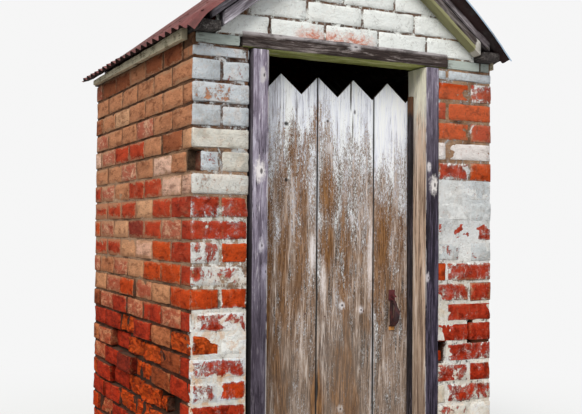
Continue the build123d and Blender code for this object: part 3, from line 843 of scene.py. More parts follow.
# joints of the gable's courses from the left corner of the front, in metres
gableJoints = ((0.066, 0.313, 0.560, 0.806, 1.047, 1.29), (0.230, 0.476, 0.731, 0.983, 1.225),
               (0.392, 0.640, 0.886, 1.13), (0.31, 0.555, 0.80, 1.04), (0.48, 0.72, 0.96), (0.54, 0.78))
gable = {"reach": 0.604, "height": 0.56, "brickHeight": 0.0815, "gap": 0.0025, "sink": 0.003,
         "verge": 0.035, "vergeRoom": 0.044}


def layGable(name, face, side):
    courses, gap = Courses(name), gable["gap"]
    for row, joints in enumerate(gableJoints):
        level = shed["plateLevel"] + bricks["topGap"] + row * shed["course"]
        room = shed["ridge"] - gable["vergeRoom"] - level
        reach = min(gable["reach"], room / math.tan(shed["roofAngle"]))
        for index, (start, end) in enumerate(zip(joints, joints[1:])):
            low, high = shed["left"] + start + gap, shed["left"] + end - gap
            if low > reach or high < -reach:
                continue
            look = looks["gable" if side < 0 else "fire" if (row + index) % 3 else "brick"]
            size = high - low, shed["wall"], gable["brickHeight"]
            courses.lay((low if side < 0 else high, face, 0), (-side, 0, 0), (0, side, 0), size,
                        level - gable["sink"], look, cut="front")
    return courses


def trimGable(piece):
    # cuts the gable to the underside of the verge boards and to the wall plates
    angle, drop = shed["roofAngle"], gable["verge"] / math.cos(shed["roofAngle"])
    for side in (-1, 1):
        cutOff(piece, (0, 0, shed["ridge"] - drop), (side * math.sin(angle), 0, math.cos(angle)))
        cutOff(piece, (side * gable["reach"], 0, 0), (side, 0, 0))


def buildBrickwork():
    nodes = (("front_left_pier", "front_right_pier"), ("left_wall",), ("right_wall",), ("back_wall",))
    for courses, replaced in zip(layWalls(), nodes):
        handOver(courses.build(), oldBrick, "shed", "brickwork", *replaced)
    for end, side in (("front", -1), ("back", 1)):
        piece = layGable(end + "_gable_bricks", shed[end], side).build()
        trimGable(piece)
        handOver(piece, oldBrick, "shed", "brickwork", end + "_gable")


buildBrickwork()
print("bricks laid")

# mortar: a bed behind the brick faces, pressed in unevenly and open in places
mortar = {"recess": 0.0045, "flush": 0.0012, "sideRecess": 0.0035, "cell": 0.011, "rowHeight": 0.01075,
          "thick": 0.090, "behind": 0.008, "inset": 0.006, "gableReach": 0.603, "besideDoor": 0.003,
          "underPlate": 0.002, "aroundHollow": 0.012, "overHollow": 0.004}
# places of the front where bricks or pieces of them are lost: x from and to, z from and to, depth
frontHoles = ((-0.695, -0.655, 1.548, 1.634, 0.062), (0.40, 0.457, 0.774, 0.860, 0.062),
              (0.570, 0.592, 0.852, 0.946, 0.040), (0.592, 0.690, 0.850, 0.864, 0.040))
# the same for the left wall, in y and z: behind the lost brick and behind the bitten one at the corner
lostPlace, bittenPlace = (-0.597, -0.364, 0.602, 0.688), (-0.715, -0.653, 1.548, 1.634)


def isWithin(across, z, place):
    start, end, low, high = place
    return start < across < end and low < z < high


def frontBed(x, z):
    # how washed and how deep the mortar of the front is: thick cream low on the left, flush white beside
    # the latch
    if z > shed["plateLevel"]:
        return 0.46, mortar["recess"]
    for *place, depth in frontHoles:
        if isWithin(x, z, place):
            return 0.0, depth
    zones = ((1.548, 0.38, 0.003), (1.204, 0.80, 0.0004), (-1, 0.62, 0.0034))
    if x < 0:
        zones = ((1.376, 0.42, mortar["recess"]), (1.04, 0.52, 0.0024), (0.95, 0.66, 0.0030),
                 (-1, 0.70, mortar["flush"]))
    return next((wash, depth) for low, wash, depth in zones if z > low)


def frontRecess(x, y, z):
    deep = frontBed(x, z)[1]
    rough, scale = (0.008, 90) if deep > 0.05 else (0.0015, 60)
    return deep + rough * noise.noise(Vector((x * scale, 0, z * scale)))


def sideRecess(x, y, z):
    deep = mortar["sideRecess"] + 0.010 * max(0, noise.noise(Vector((x * 3, y * 9, z * 9))) - 0.05)
    deep += 0.006 * max(0, 1 - z / 1.3) - 0.0014 * max(0, 1 - abs(z - 1.38) / 0.32)
    if x < shed["left"] + mortar["inset"] / 2:
        # the left wall's mortar follows its bricks' hollows
        around, over = mortar["aroundHollow"], mortar["overHollow"]
        for near, far, low, high, hollow in hollowed:
            if isWithin(y, z, (near - around, far + around, low - around, high + over)):
                deep = max(deep, hollow)
        if isWithin(y, z, lostPlace):
            deep = bricks["lostBrick"]
        if isWithin(y, z, bittenPlace):
            deep = 0.042 + 0.008 * noise.noise(Vector((9, y * 90, z * 90)))
    return deep


def markMortar(piece, behind, depth, washed):
    spots = points(piece)
    x, z = spots[:, 0], spots[:, 2]
    wash = [frontBed(spot[0], spot[2])[0] if washed and not far else 0.0 for far, spot in zip(behind, spots)]
    top = np.clip((z - 1.3) / 0.4, 0, 1)
    isGable = z > shed["plateLevel"]
    white = np.array([0.5 + 0.5 * noise.noise(Vector(spot) * 7) for spot in spots])
    setMark(piece, "wash", wash)
    setMark(piece, "chalk", np.where(isGable, 0.95, 0.45 + 0.45 * white - 0.3 * top))
    setMark(piece, "cream", np.where(isGable | (x > 0), 0.15, np.clip(1.3 - 1.2 * white - 0.6 * top, 0, 1)))
    setMark(piece, "inside", [isInside(*spot[:2]) for spot in spots])
    dark, step = (0.018, 0.014) if washed else (0.0095, 0.007)
    setMark(piece, "deep", np.where(behind, 0.0, np.clip((depth - dark) / step, 0, 1)))


def addMortar(name, start, along, length, height, recess):
    piece = addGrid(name, round(length / mortar["cell"]), round(height / mortar["rowHeight"]))
    start, out = np.array(start, dtype=float), np.array((along[1], -along[0], 0.0))
    editAll(piece)
    bpy.ops.mesh.extrude_region_move(TRANSFORM_OT_translate={"value": (0, 0, -mortar["thick"])})
    stopEditing()
    # the far copy stays flat, the near one takes the recess
    solid = points(piece)
    run, rise = (solid[:, 0] + 0.5) * length, (solid[:, 1] + 0.5) * height
    behind = solid[:, 2] < -0.01
    places = start + np.outer(run, along) + np.outer(rise, (0, 0, 1))
    flat = mortar["thick"] + mortar["behind"]
    depth = np.array([flat if far else recess(*spot) for far, spot in zip(behind, places)])
    places = places - np.outer(depth, out)
    places[:, 2] = np.maximum(places[:, 2], start[2])
    setPoints(piece, places)
    editAll(piece)
    bpy.ops.mesh.normals_make_consistent(inside=False)
    stopEditing()
    markMortar(piece, behind, depth, out[1] < 0)
    shadeSmooth(piece, 50)
    return piece


def fillMortar():
    left, right, front, back = (shed[key] for key in ("left", "right", "front", "back"))
    inset, plate, reach = mortar["inset"], shed["plateLevel"], mortar["gableReach"]
    top, pierTop = plate - mortar["underPlate"], shed["pierTop"] - mortar["underPlate"] / 2
    leftPier, pier = shed["leftPier"] - 2 * inset, shed["rightPier"] - mortar["besideDoor"]
    beds = (
        ("front_left", (left + inset, front, 0), (1, 0, 0), leftPier, pierTop, frontRecess),
        ("front_right", (right - pier, front, 0), (1, 0, 0), pier - inset, pierTop, frontRecess),
        ("left", (left, back - inset, 0), (0, -1, 0), back - front - 2 * inset, top, sideRecess),
        ("right", (right, front + inset, 0), (0, 1, 0), back - front - 2 * inset, top, sideRecess),
        ("back", (right - inset, back, 0), (-1, 0, 0), right - left - 2 * inset, top, sideRecess),
        ("front_gable", (-reach, front, plate), (1, 0, 0), 2 * reach, gable["height"], frontRecess),
        ("back_gable", (reach, back, plate), (-1, 0, 0), 2 * reach, gable["height"], sideRecess),
    )
    for name, *bed in beds:
        piece = addMortar(name + "_mortar", *bed)
        if "gable" in name:
            trimGable(piece)
        handOver(piece, oldMortar, "shed", "brickwork")


fillMortar()
print("mortar filled")

# timber: boards with worn edges, hollowed a little along the grain
timber = {"edge": 0.003, "hollow": 0.0016, "swell": 0.0012, "chip": 0.0032, "deepest": 0.006, "ragged": 0.004,
          "cellLong": 0.04, "cellAcross": 0.011, "grain": (2.2, 42.0), "slow": (1.6, 5.0)}


def addTimber(name, low, high, axis, wear=1.0):
    piece = addBlock(name, low, high)
    roundEdges(piece, timber["edge"])
    for number in range(3):
        divideAlong(piece, number, timber["cellLong" if number == axis else "cellAcross"])
    spots, outward = points(piece), pointNormals(piece)
    isLong = np.arange(3) == axis
    shift = len(name) * 3.7 + low[0] * 9
    grain = noiseAt(spots, np.where(isLong, *timber["grain"]), shift)
    slow = noiseAt(spots, np.where(isLong, *timber["slow"]), shift + 9)
    middle, half = (np.array(high) + low) / 2, (np.array(high) - low) / 2
    fromMiddle = spots - middle
    inside = half - np.abs(fromMiddle)
    atEdge = np.all(inside[:, ~isLong] < 2 * timber["edge"], axis=1)
    depth = timber["hollow"] * wear * (0.5 + 0.8 * grain) + timber["swell"] * wear * (0.5 + slow)
    depth += atEdge * wear * timber["chip"] * np.clip(noiseAt(spots, 14, shift + 4) + 0.25, 0, 1)
    atEnd = inside[:, axis] < 0.002
    ragged = timber["ragged"] * wear * np.clip(0.4 + noiseAt(spots, 60, shift), 0, 1)
    spots -= outward * np.clip(depth, 0, timber["deepest"])[:, None]
    spots[:, axis] -= np.sign(fromMiddle[:, axis]) * atEnd * ragged
    setPoints(piece, spots)
    shadeSmooth(piece, 40)
    return piece


class Grain:
    # places and noises of a timber whose grain runs along one axis; turn tips it about Y for the roof
    def __init__(self, tree, axis, turn):
        self.whole = objectPlace(tree)
        self.x, self.y, self.z = partsOf(self.whole)
        self.place = mapped(self.whole, turn=(0, turn, 0))
        self.long = mapped(self.place, [0.05 if number == axis else 1 for number in range(3)])
        self.fine = noiseOf(self.long, 210, 6, 0.72, 0.3)
        self.broad = noiseOf(self.long, 40, 5, 0.65, 0.8)
        loose = mapped(self.place, [0.25 if number == axis else 1 for number in range(3)])
        self.loose = noiseOf(loose, 26, 7, 0.72, 0.4)
        self.lines = self.fine * 0.55 + self.broad * 0.45


def weatheredAndShaded(tree, wood, color):
    # the lower timber of the jambs is darker, on the right almost up to the beam
    x, z = wood.x, wood.z
    height = z - spread(x, -0.1, 0.1, 0, 0.62)
    color = darken(spread(height, 0.8, 1.5, 1, 0), color, (0.21, 0.19, 0.21))
    color = darken(spread(x, -0.1, 0.1) * spread(z, 1.2, 1.8, 1, 0.25), color, (0.32, 0.3, 0.4))
    streaks = spread(x, -0.1, 0.1) * spread(z, 1.5, 1.9, 1, 0) * spread(wood.lines, 0.49, 0.58, 0, 0.55)
    color = mixColor(streaks, color, (0.15, 0.125, 0.185))
    # painted shade: the joint between timber and brickwork is painted black
    joint = larger(markOf(tree, "besideBricks"), spread(x + wander(wood.loose, 0.01), -0.4535, -0.4505, 1, 0))
    return mixColor(joint * spread(z, 1.2, 1.5, 0.95, 0.7), color, (0.012, 0.01, 0.01))


def knotted(wood, axis, knots, color):
    ragged = noiseOf(wood.place, 48, 6, 0.75)
    squeeze = [0.5 if number == axis else 1 for number in range(3)]
    for x, y, z, size, shade in knots:
        away = squeezedDistance(wood.whole, squeeze, (x, y, z))
        away = away + wander(ragged, size * 1.3) + wander(wood.fine, size * 1.4)
        eye = squeezedDistance(wood.whole, squeeze, (x + size * 0.2, y, z))
        color = mixColor(spread(away, size * 0.3, size * 0.8, 0.85, 0), color, shade)
        color = mixColor(spread(eye, size * 0.1, size * 0.22, 0.85, 0), color, (0.035, 0.025, 0.025))
    return color


def revealed(tree, wood, color):
    # the faces towards the door kept their paint: greenish at the top, then cream, then bare tan
    drift = wood.z + wander(wood.loose, 0.5)
    old = mixColor(spread(drift, 1.74, 1.88), (0.7, 0.51, 0.38), (1.0, 0.96, 0.78))
    old = mixColor(spread(drift, 1.98, 2.05, 0, 0.4), old, (0.75, 0.82, 0.48))
    old = mixColor(spread(wood.z, 0.5, 1.2, 0.55, 0), old, (0.17, 0.12, 0.09))
    grained = spread(wood.lines, 0.5, 0.6, 0, 0.6) * spread(drift, 1.8, 1.92, 1, 0.25)
    old = mixColor(grained, old, (0.16, 0.1, 0.07))
    seams = noiseOf(mapped(wood.place, (1, 1, 0.05)), 75, 5, 0.7, 0.3)
    bareTimber = spread(drift, 1.7, 1.86, 1, 0.2)
    old = mixColor(bareTimber * spread(seams, 0.5, 0.6, 0, 0.85), old, (0.15, 0.09, 0.06))
    old = mixColor(bareTimber * spread(seams, 0.36, 0.46, 0.7, 0), old, (0.92, 0.8, 0.7))
    color = mixColor(markOf(tree, "facesDoor"), color, old)
    edge = spread(abs(abs(wood.x + 0.021) - 0.3685), 0.001, 0.003, 0.65, 0)
    return mixColor(edge * spread(wood.loose, 0.42, 0.52), color, (0.62, 0.58, 0.56))


def mossAndHighlight(wood, color):
    # moss on the underside of the beam and a pale upper edge, partly its own paler colour and partly painted
    # highlight
    moss = ramp(wood.loose * 0.6 + wood.fine * 0.4, (0.38, 0.12, 0.13, 0.03), (0.5, 0.42, 0.46, 0.13),
                (0.62, 0.7, 0.72, 0.42))
    color = mixColor(spread(wood.z, 2.0335, 2.0355, 1, 0), color, moss)
    # painted highlight in part: the upper edge of the beam's face is paler
    top = spread(wood.z, 2.074, 2.088) * spread(wood.loose, 0.42, 0.56, 0.3, 1)
    return mixColor(top, color, (0.5, 0.46, 0.47))


def timberMaterial(name, axis, dark, middle, pale, turn=0, knots=(), coat=None, cover=0, lichen=0, bands=(),
                   isJamb=False, isBeam=False):
    # a band recolours the timber beyond a value of x, of z or of the drop below the sheets
    material, tree = newMaterial(name, 0.88)
    wood = Grain(tree, axis, turn)
    fine, loose, lines = wood.fine, wood.loose, wood.lines
    color = ramp(lines, (0.36, *dark), (0.5, *middle), (0.63, *pale))
    flakes = spread(loose * 0.6 + fine * 0.4, 0.555, 0.6, 0, 0.55)
    color = mixColor(flakes, color, [min(1, 1.5 * value) for value in pale])
    color = mixColor(spread(loose, 0.38, 0.5, 0.6, 0), color, dark)
    if isJamb:
        color = weatheredAndShaded(tree, wood, color)
    split = spread(abs(noiseOf(wood.long, 60, 3, 0.5, 0.2) - 0.5), 0.0, 0.012, 1, 0)
    split = split * spread(noiseOf(wood.place, 6, 2, 0.5), 0.48, 0.58)
    color = mixColor(split * 0.85, color, (0.02, 0.016, 0.015))
    if knots:
        color = knotted(wood, axis, knots, color)
    height = fine - split
    if coat:
        mask = spread(cover - (fine * 0.55 + noiseOf(wood.place, 22, 6, 0.7) * 0.45), -0.03, 0.04)
        color = mixColor(mask, color, coat)
        height = height + mask * 0.4
    if lichen:
        spots = noiseOf(wood.place, 18, 6, 0.75)
        color = mixColor(spread(spots, 0.62 - lichen, 0.72 - lichen, 0, 0.6), color, (0.2, 0.2, 0.09))
    drop = shed["ridge"] * math.cos(shed["roofAngle"]) - partsOf(wood.place)[2]
    for kind, start, end, reach, strength, shade in bands:
        reached = {"x": wood.x, "z": wood.z, "drop": drop}[kind] + wander(loose, reach)
        tinted = mixColor(spread(lines, 0.5, 0.62, 0, 0.6), shade, dark)
        color = mixColor(spread(reached, start, end, 0, strength), color, tinted)
    if isJamb:
        color = revealed(tree, wood, color)
    if isBeam:
        color = mossAndHighlight(wood, color)
    return finish(material, color, height, 0.9, 0.005)


# each knot: x, y, z, size and colour
jambKnots = (
    (-0.423, -0.723, 1.56, 0.034, (1.0, 0.95, 0.94)), (-0.412, -0.723, 1.93, 0.022, (0.66, 0.62, 0.63)),
    (0.362, -0.723, 1.606, 0.018, (0.8, 0.76, 0.78)), (0.385, -0.723, 1.53, 0.03, (1.0, 0.94, 0.92)),
    (0.356, -0.723, 1.138, 0.016, (0.6, 0.56, 0.6)), (-0.415, -0.723, 1.275, 0.02, (0.66, 0.62, 0.7)),
    (-0.398, -0.723, 1.175, 0.022, (0.42, 0.39, 0.5)), (0.343, -0.7, 1.535, 0.01, (0.03, 0.02, 0.02)),
)
beamKnots = ((-0.343, -0.723, 2.088, 0.024, (0.46, 0.42, 0.42)),
             (-0.005, -0.723, 2.078, 0.026, (0.66, 0.62, 0.63)))
# each band: what it is measured along, where it starts and is whole, how far it wanders, strength, colour
beamBands = (("x", 0.36, 0.46, 0.1, 0.8, (0.045, 0.03, 0.026)),)
rafterBands = (("drop", 0.0655, 0.0685, 0.014, 0.95, (0.34, 0.33, 0.17)),
               ("x", 0.565, 0.572, 0.06, 0.9, (0.66, 0.63, 0.58)))
stopBands = (("z", 1.82, 1.86, 0.06, 0.8, (0.17, 0.075, 0.035)),)
jambTimber = timberMaterial("jambTimber", 2, (0.065, 0.05, 0.075), (0.31, 0.265, 0.345), (0.66, 0.63, 0.74),
                            knots=jambKnots, isJamb=True)
beamTimber = timberMaterial("beamTimber", 0, (0.01, 0.006, 0.006), (0.052, 0.036, 0.032), (0.28, 0.24, 0.23),
                            knots=beamKnots, bands=beamBands, isBeam=True)
plateTimber = timberMaterial("plateTimber", 0, (0.08, 0.08, 0.07), (0.22, 0.22, 0.2), (0.34, 0.34, 0.31),
                             coat=(0.5, 0.56, 0.52), cover=0.58)
leftRoofTimber = timberMaterial("leftRoofTimber", 0, (0.055, 0.042, 0.05), (0.27, 0.24, 0.28),
                                (0.6, 0.57, 0.63), turn=shed["roofAngle"])
rightRafterTimber = timberMaterial("rightRafterTimber", 0, (0.015, 0.01, 0.009), (0.085, 0.065, 0.06),
                                   (0.28, 0.25, 0.245), turn=-shed["roofAngle"], bands=rafterBands)
rightVergeTimber = timberMaterial("rightVergeTimber", 0, (0.02, 0.014, 0.016), (0.15, 0.125, 0.135),
                                  (0.44, 0.41, 0.43), turn=-shed["roofAngle"], lichen=0.03)
stopTimber = timberMaterial("stopTimber", 2, (0.004, 0.003, 0.004), (0.018, 0.014, 0.017),
                            (0.09, 0.075, 0.09), bands=stopBands)
plateEnds = timberMaterial("plateEnds", 1, (0.01, 0.008, 0.008), (0.05, 0.042, 0.04), (0.22, 0.2, 0.19))
insideTimber = timberMaterial("insideTimber", 0, (0.05, 0.03, 0.02), (0.14, 0.09, 0.06), (0.24, 0.17, 0.12))
fasciaTimber = timberMaterial("fasciaTimber", 1, (0.05, 0.04, 0.018), (0.2, 0.15, 0.08), (0.36, 0.3, 0.2),
                              coat=(0.62, 0.55, 0.39), cover=0.55, lichen=0.05)

# edges of the frame's timbers in metres, in pairs from low to high
frameTimber = {"jambs": {"left_jamb": (-0.455, -0.385), "right_jamb": (0.343, 0.413)},
               "depth": (-0.723, -0.583), "beam": (-0.501, 0.459), "beamHeight": (2.032, 2.094),
               "plateDepth": (-0.715, -0.605), "slope": (-0.06, 0.93),
               "plateHeight": (2.032, 2.072), "leftPlate": (-0.685, -0.505),
               "rightPlates": ((0.463, 0.633), (0.637, 0.685)), "wallPlate": (0.605, 0.695),
               "wallPlateEnd": 0.775, "wallPlateHeight": (2.072, 2.110), "boardDepth": (0.715, 0.772),
               "fascia": (0.695, 0.720), "fasciaFront": {-1: -0.655, 1: -0.705}, "fasciaBack": 0.705,
               "fasciaHeight": (2.048, 2.094), "fasciaClimb": 0.020}
# drop of the top and the underside of each slope board below the ridge, its foot and how worn it is
slopeBoards = {"verge": (0.0006, 0.035, 0.643, 1.4), "rafter": (0.035, 0.082, 0.593, 1.0)}


def addBoxTimber(name, across, depth, height, axis, wear=1.0):
    low, high = zip(across, depth, height)
    return addTimber(name, low, high, axis, wear)


def mirrored(span, side):
    return sorted(side * value for value in span)


def buildFrameTimber():
    sizes = frameTimber
    for node, across in sizes["jambs"].items():
        piece = addBoxTimber(node + "_timber", across, sizes["depth"], (0, sizes["beamHeight"][0]), 2)
        inward = 1 if across[0] < 0 else -1
        markFaces(piece, "facesDoor", lambda face: face.normal.x * inward > 0.65)
        markFaces(piece, "besideBricks", lambda face: face.normal.x * inward < -0.65)
        handOver(piece, jambTimber, "shed", "frame_timber", node)
    beam = addBoxTimber("head_beam_timber", sizes["beam"], sizes["depth"], sizes["beamHeight"], 0, 1.3)
    handOver(beam, beamTimber, "shed", "frame_timber", "head_beam")
    plate = sizes["plateDepth"], sizes["plateHeight"], 0, 0.8
    left = addBoxTimber("left_plate_timber", sizes["leftPlate"], *plate)
    handOver(left, plateTimber, "shed", "frame_timber", "left_front_plate")
    halves = zip(("plate_a", "plate_b"), sizes["rightPlates"])
    right = joinPieces("right_plate_timber", [addBoxTimber(name, across, *plate) for name, across in halves])
    handOver(right, plateTimber, "shed", "frame_timber", "right_front_plate")
    end = sizes["wallPlateEnd"]
    for side, node in ((-1, "left_wall_plate"), (1, "right_wall_plate")):
        piece = addBoxTimber(node + "_timber", mirrored(sizes["wallPlate"], side), (-end, end),
                             sizes["wallPlateHeight"], 1, 1.2)
        handOver(piece, plateEnds, "shed", "frame_timber", node)


def addSlopeBoard(name, side, depth, topDrop, lowDrop, foot, wear):
    # made flat with its length along X, tipped to the roof's slope, then cut plumb at the ridge and the foot
    piece = addBoxTimber(name, mirrored(frameTimber["slope"], side), depth, (-lowDrop, -topDrop), 0, wear)
    piece.rotation_euler = (0, side * shed["roofAngle"], 0)
    piece.location = (0, 0, shed["ridge"])
    placeInMesh(piece)
    cutOff(piece, (0, 0, 0), (-side, 0, 0))
    cutOff(piece, (side * foot, 0, 0), (side, 0, 0))
    return piece


def buildRoofTimber():
    looksOf = {"left": (leftRoofTimber, leftRoofTimber), "right": (rightVergeTimber, rightRafterTimber)}
    for side, hand in ((-1, "left"), (1, "right")):
        for end, toward in (("front", -1), ("back", 1)):
            depth = mirrored(frameTimber["boardDepth"], toward)
            for (kind, sizes), material in zip(slopeBoards.items(), looksOf[hand]):
                node = f"{end}_{hand}_{kind}"
                piece = addSlopeBoard(node + "_timber", side, depth, *sizes)
                handOver(piece, material, "shed", "frame_timber", node)


def buildFascias():
    low, high = frameTimber["fasciaHeight"]
    back = frameTimber["fasciaBack"]
    for side, node in ((-1, "left_fascia"), (1, "right_fascia")):
        piece = addBoxTimber(node + "_timber", mirrored(frameTimber["fascia"], side),
                             (frameTimber["fasciaFront"][side], back), (low, high), 1)
        if side < 0:
            # the old board has shrunk towards the back, so its lower edge climbs
            spots = points(piece)
            climb = (spots[:, 1] + back) / (2 * back) * frameTimber["fasciaClimb"]
            spots[:, 2] += climb * (high - spots[:, 2]) / (high - low)
            setPoints(piece, spots)
        handOver(piece, fasciaTimber, "shed", "fascia_timber", node)


buildFrameTimber()
buildRoofTimber()
buildFascias()
print("timber cut")

# corrugated iron
iron = {"pitch": 0.0762, "swing": 0.0082, "rest": 0.0085, "gauge": 0.0011, "start": -0.8001, "eave": 0.939,
        "ridgeGap": 0.010, "laps": ((-0.8001, -0.015, 0.0), (-0.095, 0.8001, 0.0013)), "lip": 0.0055,
        "cellsDown": 34, "cellsPerWave": 12, "nailRows": (0.44, 0.72, 0.862), "nailHead": 0.007}


def ironHeight(side, down, y):
    # height of the sheet over the boards: waves, dents, and edges that have lifted or been bent
    wave = iron["swing"] * math.sin(2 * math.pi * (y - iron["start"]) / iron["pitch"])
    dent = 0.0022 * noise.noise(Vector((down * 5, y * 6, side * 7))) * share(down, 0.2, 0.25)
    ragged = 0.0035 * noise.noise(Vector((3, y * 22, side * 5))) * share(down, 0.85, 0.089)
    eave = share(down, 0.868, 0.071)
    front = max(0, (-0.772 - y) / 0.028)
    if side < 0:
        bend = 0.016 * share(y, -0.6, 1.0) * eave ** 2 - 0.020 * eave * share(-y, 0.66, 0.14) - 0.016 * front
    else:
        # the front edge of the right sheet has sprung off its board and turns down at the eave
        bow = math.sin(math.pi * share(down, 0.30, 0.58))
        bend = 0.027 * bow * share(-y, 0.70, 0.10) ** 1.5 - 0.012 * eave * share(-y, 0.72, 0.08)
        bend -= 0.006 * share(-y, 0.794, 0.006)
    return iron["rest"] + wave * (1 - 0.4 * min(1, front)) + dent + ragged + bend


def offSlope(side):
    return Vector((side * math.sin(shed["roofAngle"]), 0, math.cos(shed["roofAngle"])))


def onIron(side, down, y, lift):
    # a spot by its distance down the slope, with lift over the sheet's own height
    height, angle = ironHeight(side, down, y) + lift, shed["roofAngle"]
    return (side * (down * math.cos(angle) + height * math.sin(angle)), y,
            shed["ridge"] - down * math.sin(angle) + height * math.cos(angle))


def addSheet(name, side, yFrom, yTo, lift):
    long = yTo - yFrom
    piece = addGrid(name, iron["cellsDown"], round(long / iron["pitch"] * iron["cellsPerWave"]))
    places = []
    for gridX, gridY in points(piece)[:, :2]:
        down = iron["ridgeGap"] + (gridX + 0.5) * (iron["eave"] - iron["ridgeGap"])
        y = yFrom + (gridY + 0.5) * long if side > 0 else yTo - (gridY + 0.5) * long
        places.append(onIron(side, down, y, lift))
    setPoints(piece, places)
    thick = piece.modifiers.new("gauge", "SOLIDIFY")
    thick.thickness, thick.offset = iron["gauge"], 0
    makeActive(piece)
    bpy.ops.object.modifier_apply(modifier=thick.name)
    if side > 0 and yFrom == iron["start"]:
        # the front edge is folded up into a narrow lip
        spots = points(piece)
        half = len(spots) // 2
        for first in range(half):
            if spots[first, 1] < yFrom + 0.002:
                upper = max(first, first + half, key=lambda number: spots[number, 2])
                spots[upper] += np.array(offSlope(side)) * iron["lip"]
        setPoints(piece, spots)
    shadeSmooth(piece, 60)
    markFaces(piece, "under", lambda face: face.normal.z < -0.05)
    markFaces(piece, "lip", lambda face: face.center.y < -0.795 and face.normal.y < -0.3)
    return piece


def addNails(name, spots, outward, radius):
    # one domed head is made and copied
    deselectAll()
    bpy.ops.mesh.primitive_uv_sphere_add(segments=8, ring_count=6, radius=1)
    head = bpy.context.object
    head.scale = (1, 1, 0.45)
    placeInMesh(head)
    shape, faces = points(head), [tuple(face.vertices) for face in head.data.polygons]
    bpy.data.objects.remove(head)
    places, made = [], []
    turn = Vector(outward).to_track_quat("Z", "Y").to_matrix()
    for where in spots:
        base = len(places)
        places.extend(Vector(where) + turn @ (Vector(spot) * radius) for spot in shape)
        made.extend(tuple(base + corner for corner in face) for face in faces)
    piece = addMesh(name, places, made)
    shadeSmooth(piece, 60)
    return piece


def ironMaterial(name, metal, grime):
    material, tree = newMaterial(name, 0.75, 0.3)
    place = objectPlace(tree)
    patch = noiseOf(place, 7, 6, 0.65, 0.4)
    fine = noiseOf(place, 90, 5, 0.7)
    runs = noiseOf(mapped(place, (3, 45, 3)), 1, 4, 0.6)
    color = ramp(patch * 0.6 + runs * 0.4, (0.36, 0.07, 0.026, 0.026), (0.5, 0.165, 0.05, 0.047),
                 (0.64, 0.29, 0.135, 0.125))
    color = mixColor(spread(fine, 0.5, 0.7, 0, 0.6), color, (0.08, 0.04, 0.035))
    bare = noiseOf(mapped(place, shift=(4, 2, 7)), 10, 7, 0.7)
    color = mixColor(spread(bare, metal, metal + 0.16, 0, 0.7), color, (0.36, 0.35, 0.34))
    color = mixColor(spread(noiseOf(place, 4, 4, 0.6), 0.4, 0.6, 0, grime), color, (0.05, 0.045, 0.03))
    # painted shade: the undersides of the sheets are near black
    color = mixColor(markOf(tree, "under") * 0.85, color, (0.016, 0.011, 0.011))
    # painted highlight: the folded front lip shows a pale blue line of reflected sky
    if metal < 0.6:
        color = mixColor(markOf(tree, "lip") * spread(patch, 0.35, 0.5, 0.5, 0.95), color, (0.4, 0.52, 0.66))
    return finish(material, color, fine, 0.5, 0.002)


rustyIron, paleIron = ironMaterial("rustyIron", 0.66, 0.2), ironMaterial("paleIron", 0.50, 0.2)
rustyNail = ironMaterial("rustyNail", 0.9, 0.5)


def buildRoofIron():
    for side, hand, material in ((-1, "left", rustyIron), (1, "right", paleIron)):
        sheets = [addSheet("sheet", side, *lap) for lap in iron["laps"]]
        piece = joinPieces(hand + "_corrugated_sheets", sheets)
        handOver(piece, material, "shed", "roof_iron", hand + "_roof_iron")
        crests = [iron["start"] + iron["pitch"] * (crest + 0.25) for crest in range(0, 21, 3)]
        spots = [onIron(side, down, y, 0.001) for down in iron["nailRows"] for y in crests]
        nails = addNails(hand + "_roof_nails", spots, offSlope(side), iron["nailHead"])
        handOver(nails, rustyNail, "shed", "roof_iron")


buildRoofIron()
print("roof iron laid")

# door boards; a groove has its place, where it starts and its depth
door = {"face": -0.600, "back": -0.578, "foot": 0.055, "tip": 1.967, "root": 1.889, "firstTip": -0.2757,
        "pitch": 0.1688, "half": 0.0934, "warpFrom": 1.76, "chamfer": 0.003, "joints": (-0.108, 0.1628),
        "cellAcross": 0.014, "cellUp": 0.04, "grooveHalf": 0.007,
        "nailLevels": (0.25, 0.99), "nails": (-0.339, -0.16, -0.068, 0.116, 0.205, 0.300), "nailHead": 0.0036,
        "boards": ((-0.379, -0.1098, ((-0.192, 2.1, 0.002),)), (-0.1062, 0.1610, ((0.0515, 1.83, 0.006),)),
                   (0.1646, 0.335, ()))}
doorTips = [door["firstTip"] + number * door["pitch"] for number in range(-1, 5)]
doorRoots = [tip + door["half"] for tip in doorTips]


def toothTop(x):
    turns = sorted([(tip, door["tip"]) for tip in doorTips] + [(root, door["root"]) for root in doorRoots])
    return np.interp(x, *zip(*turns))


